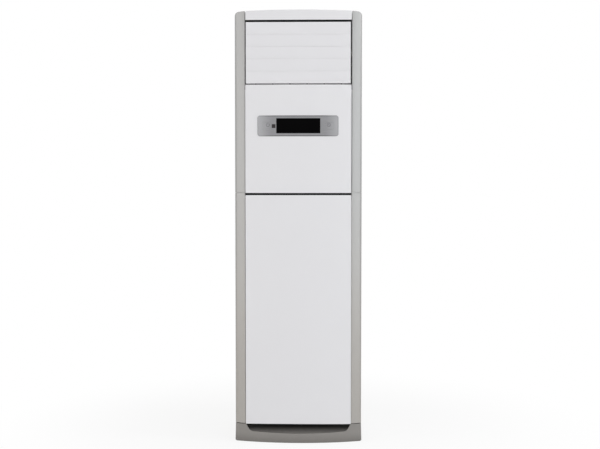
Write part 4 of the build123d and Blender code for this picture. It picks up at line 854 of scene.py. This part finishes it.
displayShape = {
    "bezel": widened("display_bezel", 0.0022, 0, 0.0018), "corner": 0.010,
    "border": 0.0034, "borderRise": 0.0003, "rim": 0.0009,  # the raised border round the plate
    "proud": 0.0015, "seat": 0.001,  # in front of the panel's face and behind it
    "plateDepth": 0.005,
    "window": widened("display_window", 0.0018, 0.0022, 0.0026),
    "receiver": widened("ir_receiver", 0.0012, 0.0006),
    "left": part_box("key_left"), "right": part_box("key_right"),
    "openings": {"left": 0.006, "receiver": 0.0006, "window": 0.0015, "right": 0.006},  # corner radii
    "gap": 0.0003, "openingRound": 0.00025,
    "windowCap": {"radius": 0.0015, "proud": 0.0012, "edge": 0.0005, "depth": 0.004},
    "receiverCap": {"radius": 0.0008, "proud": 0.0012, "edge": 0.0004, "depth": 0.004},
    "keyCap": {"radius": 0.006, "proud": 0.0013, "edge": 0.0003, "depth": 0.006},
}


def displayBezel():
    d = displayShape
    (centreX, _, centreZ), (halfX, _, halfZ) = middleHalf(*d["bezel"])
    border, rise, seat = d["border"], d["borderRise"], d["proud"] + d["seat"]
    # the border's section: its inner slope, its top, the outer edge, the side and the back
    slope = [(border + rise * 2, rise * 2.2), (border, rise), (border - rise, 0.15 * rise),
             (border - 2 * rise, 0), (d["rim"] * 1.6, 0)]
    section = slope + [*roundOver(d["rim"]), (0, seat), (border, seat), slope[0]]
    sheets = [ringSheet(section, insetLoop(halfX, halfZ, d["corner"], 20, 8),
                        bowPlace(centreX, centreZ, d["proud"]))]
    # the plate is in four parts side by side, each with one opening
    inX, inZ = halfX - border, halfZ - border
    boxes = [d[name] for name in d["openings"]]
    between = [(before[1].x + after[0].x) / 2 for before, after in zip(boxes, boxes[1:])]
    stops = [centreX - inX, *between, centreX + inX]
    place = bowPlace(0, centreZ, d["proud"] - rise)
    for box, corner, left, right in zip(boxes, d["openings"].values(), stops, stops[1:]):
        (x, _, z), (holeX, _, holeZ) = middleHalf(*box)
        half, shift = np.array([holeX, holeZ]) + d["gap"], np.array([x, z - centreZ])
        outer = roundedLoop((right - left) / 2, inZ, 0, 14, 4) + [(left + right) / 2, 0]
        inner = roundedLoop(*half, corner, 14, 4) + shift
        grown = (inner - shift) * (1 + d["openingRound"] / half) + shift
        rows = [place(outer * (1 - s) + grown * s, 0) for s in np.linspace(0, 1, 5)]
        rows += [place(grown * (1 - s) + inner * s, d["openingRound"] * (1 - cos(s * pi / 2)))
                 for s in (0.35, 0.7, 1)]
        rows += [place(inner, d["plateDepth"]), place(outer, d["plateDepth"]), rows[0]]
        sheets.append((np.stack(rows), True))
    bezel = addPiece("displayBezel", sheets, "cabinet", "bezel_silver", ["display_bezel"])

    def onBorder(x, y, z):
        fromEdge = np.minimum(halfX - np.abs(x - centreX), halfZ - np.abs(z - centreZ))
        return fromEdge < border - rise

    # the border takes the painted shade
    secondFinish(bezel, "bezel_edge_painted_shade", onBorder)


def cap(name, node, box, body, slotName, c, finish=None):
    # a flush cap that follows the bow: its face from the middle out, a rounded edge and its side
    (x, _, z), (halfX, _, halfZ) = middleHalf(*box)
    short = min(halfX, halfZ)
    face = np.stack([np.linspace(short, c["edge"] * 1.2, 8), np.zeros(8)], -1)
    back = np.stack([np.linspace(0, short, 3), np.full(3, c["depth"])], -1)
    sheet = ringSheet(np.concatenate([face, roundOver(c["edge"], 3), back]),
                      insetLoop(halfX, halfZ, c["radius"]), bowPlace(x, z, c["proud"]))
    addPiece(name, [sheet], body, slotName, [node], finish)


def displayCaps():
    d = displayShape
    cap("displayWindow", "display_window", d["window"], "cabinet", "window_black", d["windowCap"])
    cap("receiverWindow", "ir_receiver", d["receiver"], "cabinet", "window_black", d["receiverCap"],
        "receiver_grey")
    for side in ("left", "right"):
        cap("key" + side.title(), "key_" + side, d[side], "key_" + side, "bezel_silver", d["keyCap"])


markShape = {
    "rise": 0.0050, "proud": 0.00136, "film": 0.00005,
    "powerAside": 0.0045, "powerRadius": 0.0068, "powerWidth": 0.0015, "powerOpen": 35,  # degrees
    "powerBar": ((0, 0.0020), (0, 0.0092)),
    "modeAside": -0.0035, "modeRadius": 0.0070, "modeWidth": 0.0014,
    "arrow": ((-0.0035, -0.0018), (0, 0.0022), (0.0035, -0.0018)),
}


def ringMark(radius, width, start, end, count=40):
    # a flat ring or part of one, from one angle to another
    turn = np.radians(np.linspace(start, end, count))
    return np.stack([np.stack([r * np.sin(turn), r * np.cos(turn)], -1)
                     for r in (radius - width / 2, radius + width / 2)])


def barMark(first, second, width):
    # a flat bar between two points
    first, second = np.array(first), np.array(second)
    along = (second - first) / np.linalg.norm(second - first)
    across = np.array([-along[1], along[0]]) * width / 2
    return np.array([[first + across, second + across], [first - across, second - across]])


def keyMark(name, side, aside, grids):
    # a printed sign on a key, a twentieth of a millimetre thick
    m = markShape
    (x, _, z), _ = middleHalf(*displayShape[side])
    place = bowPlace(x + aside, z + m["rise"], m["proud"])
    mark = addPiece(name, [(place(grid, 0), False) for grid in grids], "key_" + side, "bezel_silver",
                    finish="mark_ink")
    thick = mark.modifiers.new("film", "SOLIDIFY")
    thick.thickness, thick.offset = m["film"], 0


def keyMarks():
    # a ring that is open at the top round a bar, and a closed ring round an arrowhead
    m = markShape
    start, radius, width = m["powerOpen"], m["powerRadius"], m["powerWidth"]
    keyMark("powerMark", "left", m["powerAside"],
            [ringMark(radius, width, start, 360 - start), barMark(*m["powerBar"], width)])
    radius, width, points = m["modeRadius"], m["modeWidth"], m["arrow"]
    keyMark("modeMark", "right", m["modeAside"],
            [ringMark(radius, width, 0, 360),
             *(barMark(*ends, width) for ends in zip(points, points[1:]))])


displayBezel()
displayCaps()
keyMarks()
print("display made")

floorLook = {
    "reach": 9.0, "height": -0.0005, "color": (0.94, 0.94, 0.94, 1), "roughness": 0.9,
    "fadeFrom": 0.45, "fadeTo": 1.5,  # metres from the middle
    "least": 0.84,  # the share of white under the object
}


def seenRays(tree):
    # 1 for what the camera, a glossy surface or glass sees, 0 for the light itself
    rays = addNode(tree, "ShaderNodeLightPath").outputs
    seen = mathNode(tree, "MAXIMUM", rays["Is Camera Ray"], rays["Is Glossy Ray"])
    return mathNode(tree, "MAXIMUM", seen, rays["Is Transmission Ray"])


def stagePiece():
    # a floor that fades to the white background away from the object, and keeps its shadow
    f = floorLook
    steps = np.linspace(-f["reach"], f["reach"], 3)
    points = np.stack([*np.meshgrid(steps, steps), np.full((3, 3), f["height"])], -1)
    floor = bpy.data.objects.new("floor", surfaceMesh("floor", [(points, False)]))
    bpy.context.scene.collection.objects.link(floor)
    material = bpy.data.materials.new("studio-floor")
    material.use_nodes = True
    tree = material.node_tree
    shader = tree.nodes["Principled BSDF"]
    for label, value in (("Base Color", f["color"]), ("Roughness", f["roughness"]),
                         ("Specular IOR Level", 0.0)):
        feed(tree, shader.inputs[label], value)
    glow = addNode(tree, "ShaderNodeEmission", Color=(1, 1, 1, 1), Strength=1.0)
    away = addNode(tree, "ShaderNodeVectorMath", {"operation": "LENGTH"}, objectPlace(tree))
    far = smoothRange(tree, away.outputs["Value"], From_Min=f["fadeFrom"], From_Max=f["fadeTo"],
                      To_Min=f["least"])
    share = mathNode(tree, "MULTIPLY", far, seenRays(tree))
    mixed = addNode(tree, "ShaderNodeMixShader", None, share, shader.outputs[0], glow.outputs[0])
    feed(tree, tree.nodes["Material Output"].inputs["Surface"], mixed.outputs[0])
    floor.data.materials.append(material)


def studioWorld(level):
    # an even grey-white room for the light, and plain white for what the camera and gloss see
    world = bpy.data.worlds.new("studio")
    world.use_nodes = True
    bpy.context.scene.world = world
    tree = world.node_tree
    room = tree.nodes["Background"]
    feed(tree, room.inputs["Color"], (1, 1, 1, 1))
    feed(tree, room.inputs["Strength"], level)
    white = addNode(tree, "ShaderNodeBackground", Color=(1, 1, 1, 1), Strength=1.0)
    mixed = addNode(tree, "ShaderNodeMixShader", None, seenRays(tree), room.outputs[0], white.outputs[0])
    feed(tree, tree.nodes["World Output"].inputs["Surface"], mixed.outputs[0])


def softBox(name, place, target, size, power, color):
    # a rectangular lamp that faces its target
    lamp = bpy.data.lights.new(name, "AREA")
    lamp.shape, lamp.size, lamp.size_y, lamp.energy, lamp.color = "RECTANGLE", *size, power, color
    box = bpy.data.objects.new(name, lamp)
    bpy.context.scene.collection.objects.link(box)
    box.location = place
    box.rotation_euler = (Vector(target) - Vector(place)).to_track_quat("-Z", "Y").to_euler()


worldLevel = 0.371
softBoxes = {  # place, target, size, power in watts, colour
    "leftLight": ((-3.0, -2.9, 1.3), (0, -0.2, 1.0), (1.8, 2.6), 43.0, (1.0, 0.965, 0.925)),
    "rightLight": ((3.0, -2.8, 1.3), (0, -0.2, 1.0), (1.8, 2.6), 49.0, (0.94, 0.975, 1.0)),
    "topLight": ((0, -2.6, 3.8), (0, -0.2, 1.2), (2.4, 1.6), 6.0, (1, 1, 1)),
    "backLight": ((0.6, 3.2, 2.2), (0, 0, 0.9), (2.4, 2.0), 20.0, (1, 1, 1)),
    "highRightLight": ((2.4, -0.7, 2.9), (0.25, -0.15, 1.6), (0.9, 0.9), 29.0, (1, 1, 1)),
    "highLeftLight": ((-2.4, -0.9, 2.9), (-0.25, -0.15, 1.6), (0.9, 0.9), 13.0, (1, 1, 1)),
}
stagePiece()
studioWorld(worldLevel)
for name, values in softBoxes.items():
    softBox(name, *values)

cameraSetup = {
    "distance": 4.006, "height": 1.0916, "aside": 0.0839,
    "pitch": 2.356, "yaw": 1.092,  # degrees, down and to the left
    "focal": 57.12, "sensor": 36.0,  # millimetres
}
cameraData = bpy.data.cameras.new("camera")
cameraData.lens, cameraData.sensor_width = cameraSetup["focal"], cameraSetup["sensor"]
camera = bpy.data.objects.new("camera", cameraData)
bpy.context.scene.collection.objects.link(camera)
camera.location = (cameraSetup["aside"], frontPanels["frontY"] - cameraSetup["distance"],
                   cameraSetup["height"])
camera.rotation_euler = (radians(90 - cameraSetup["pitch"]), 0, radians(cameraSetup["yaw"]))
bpy.context.scene.camera = camera
bpy.context.scene.view_settings.view_transform = "Standard"
print("stage, light and camera set")

bpy.context.view_layer.update()
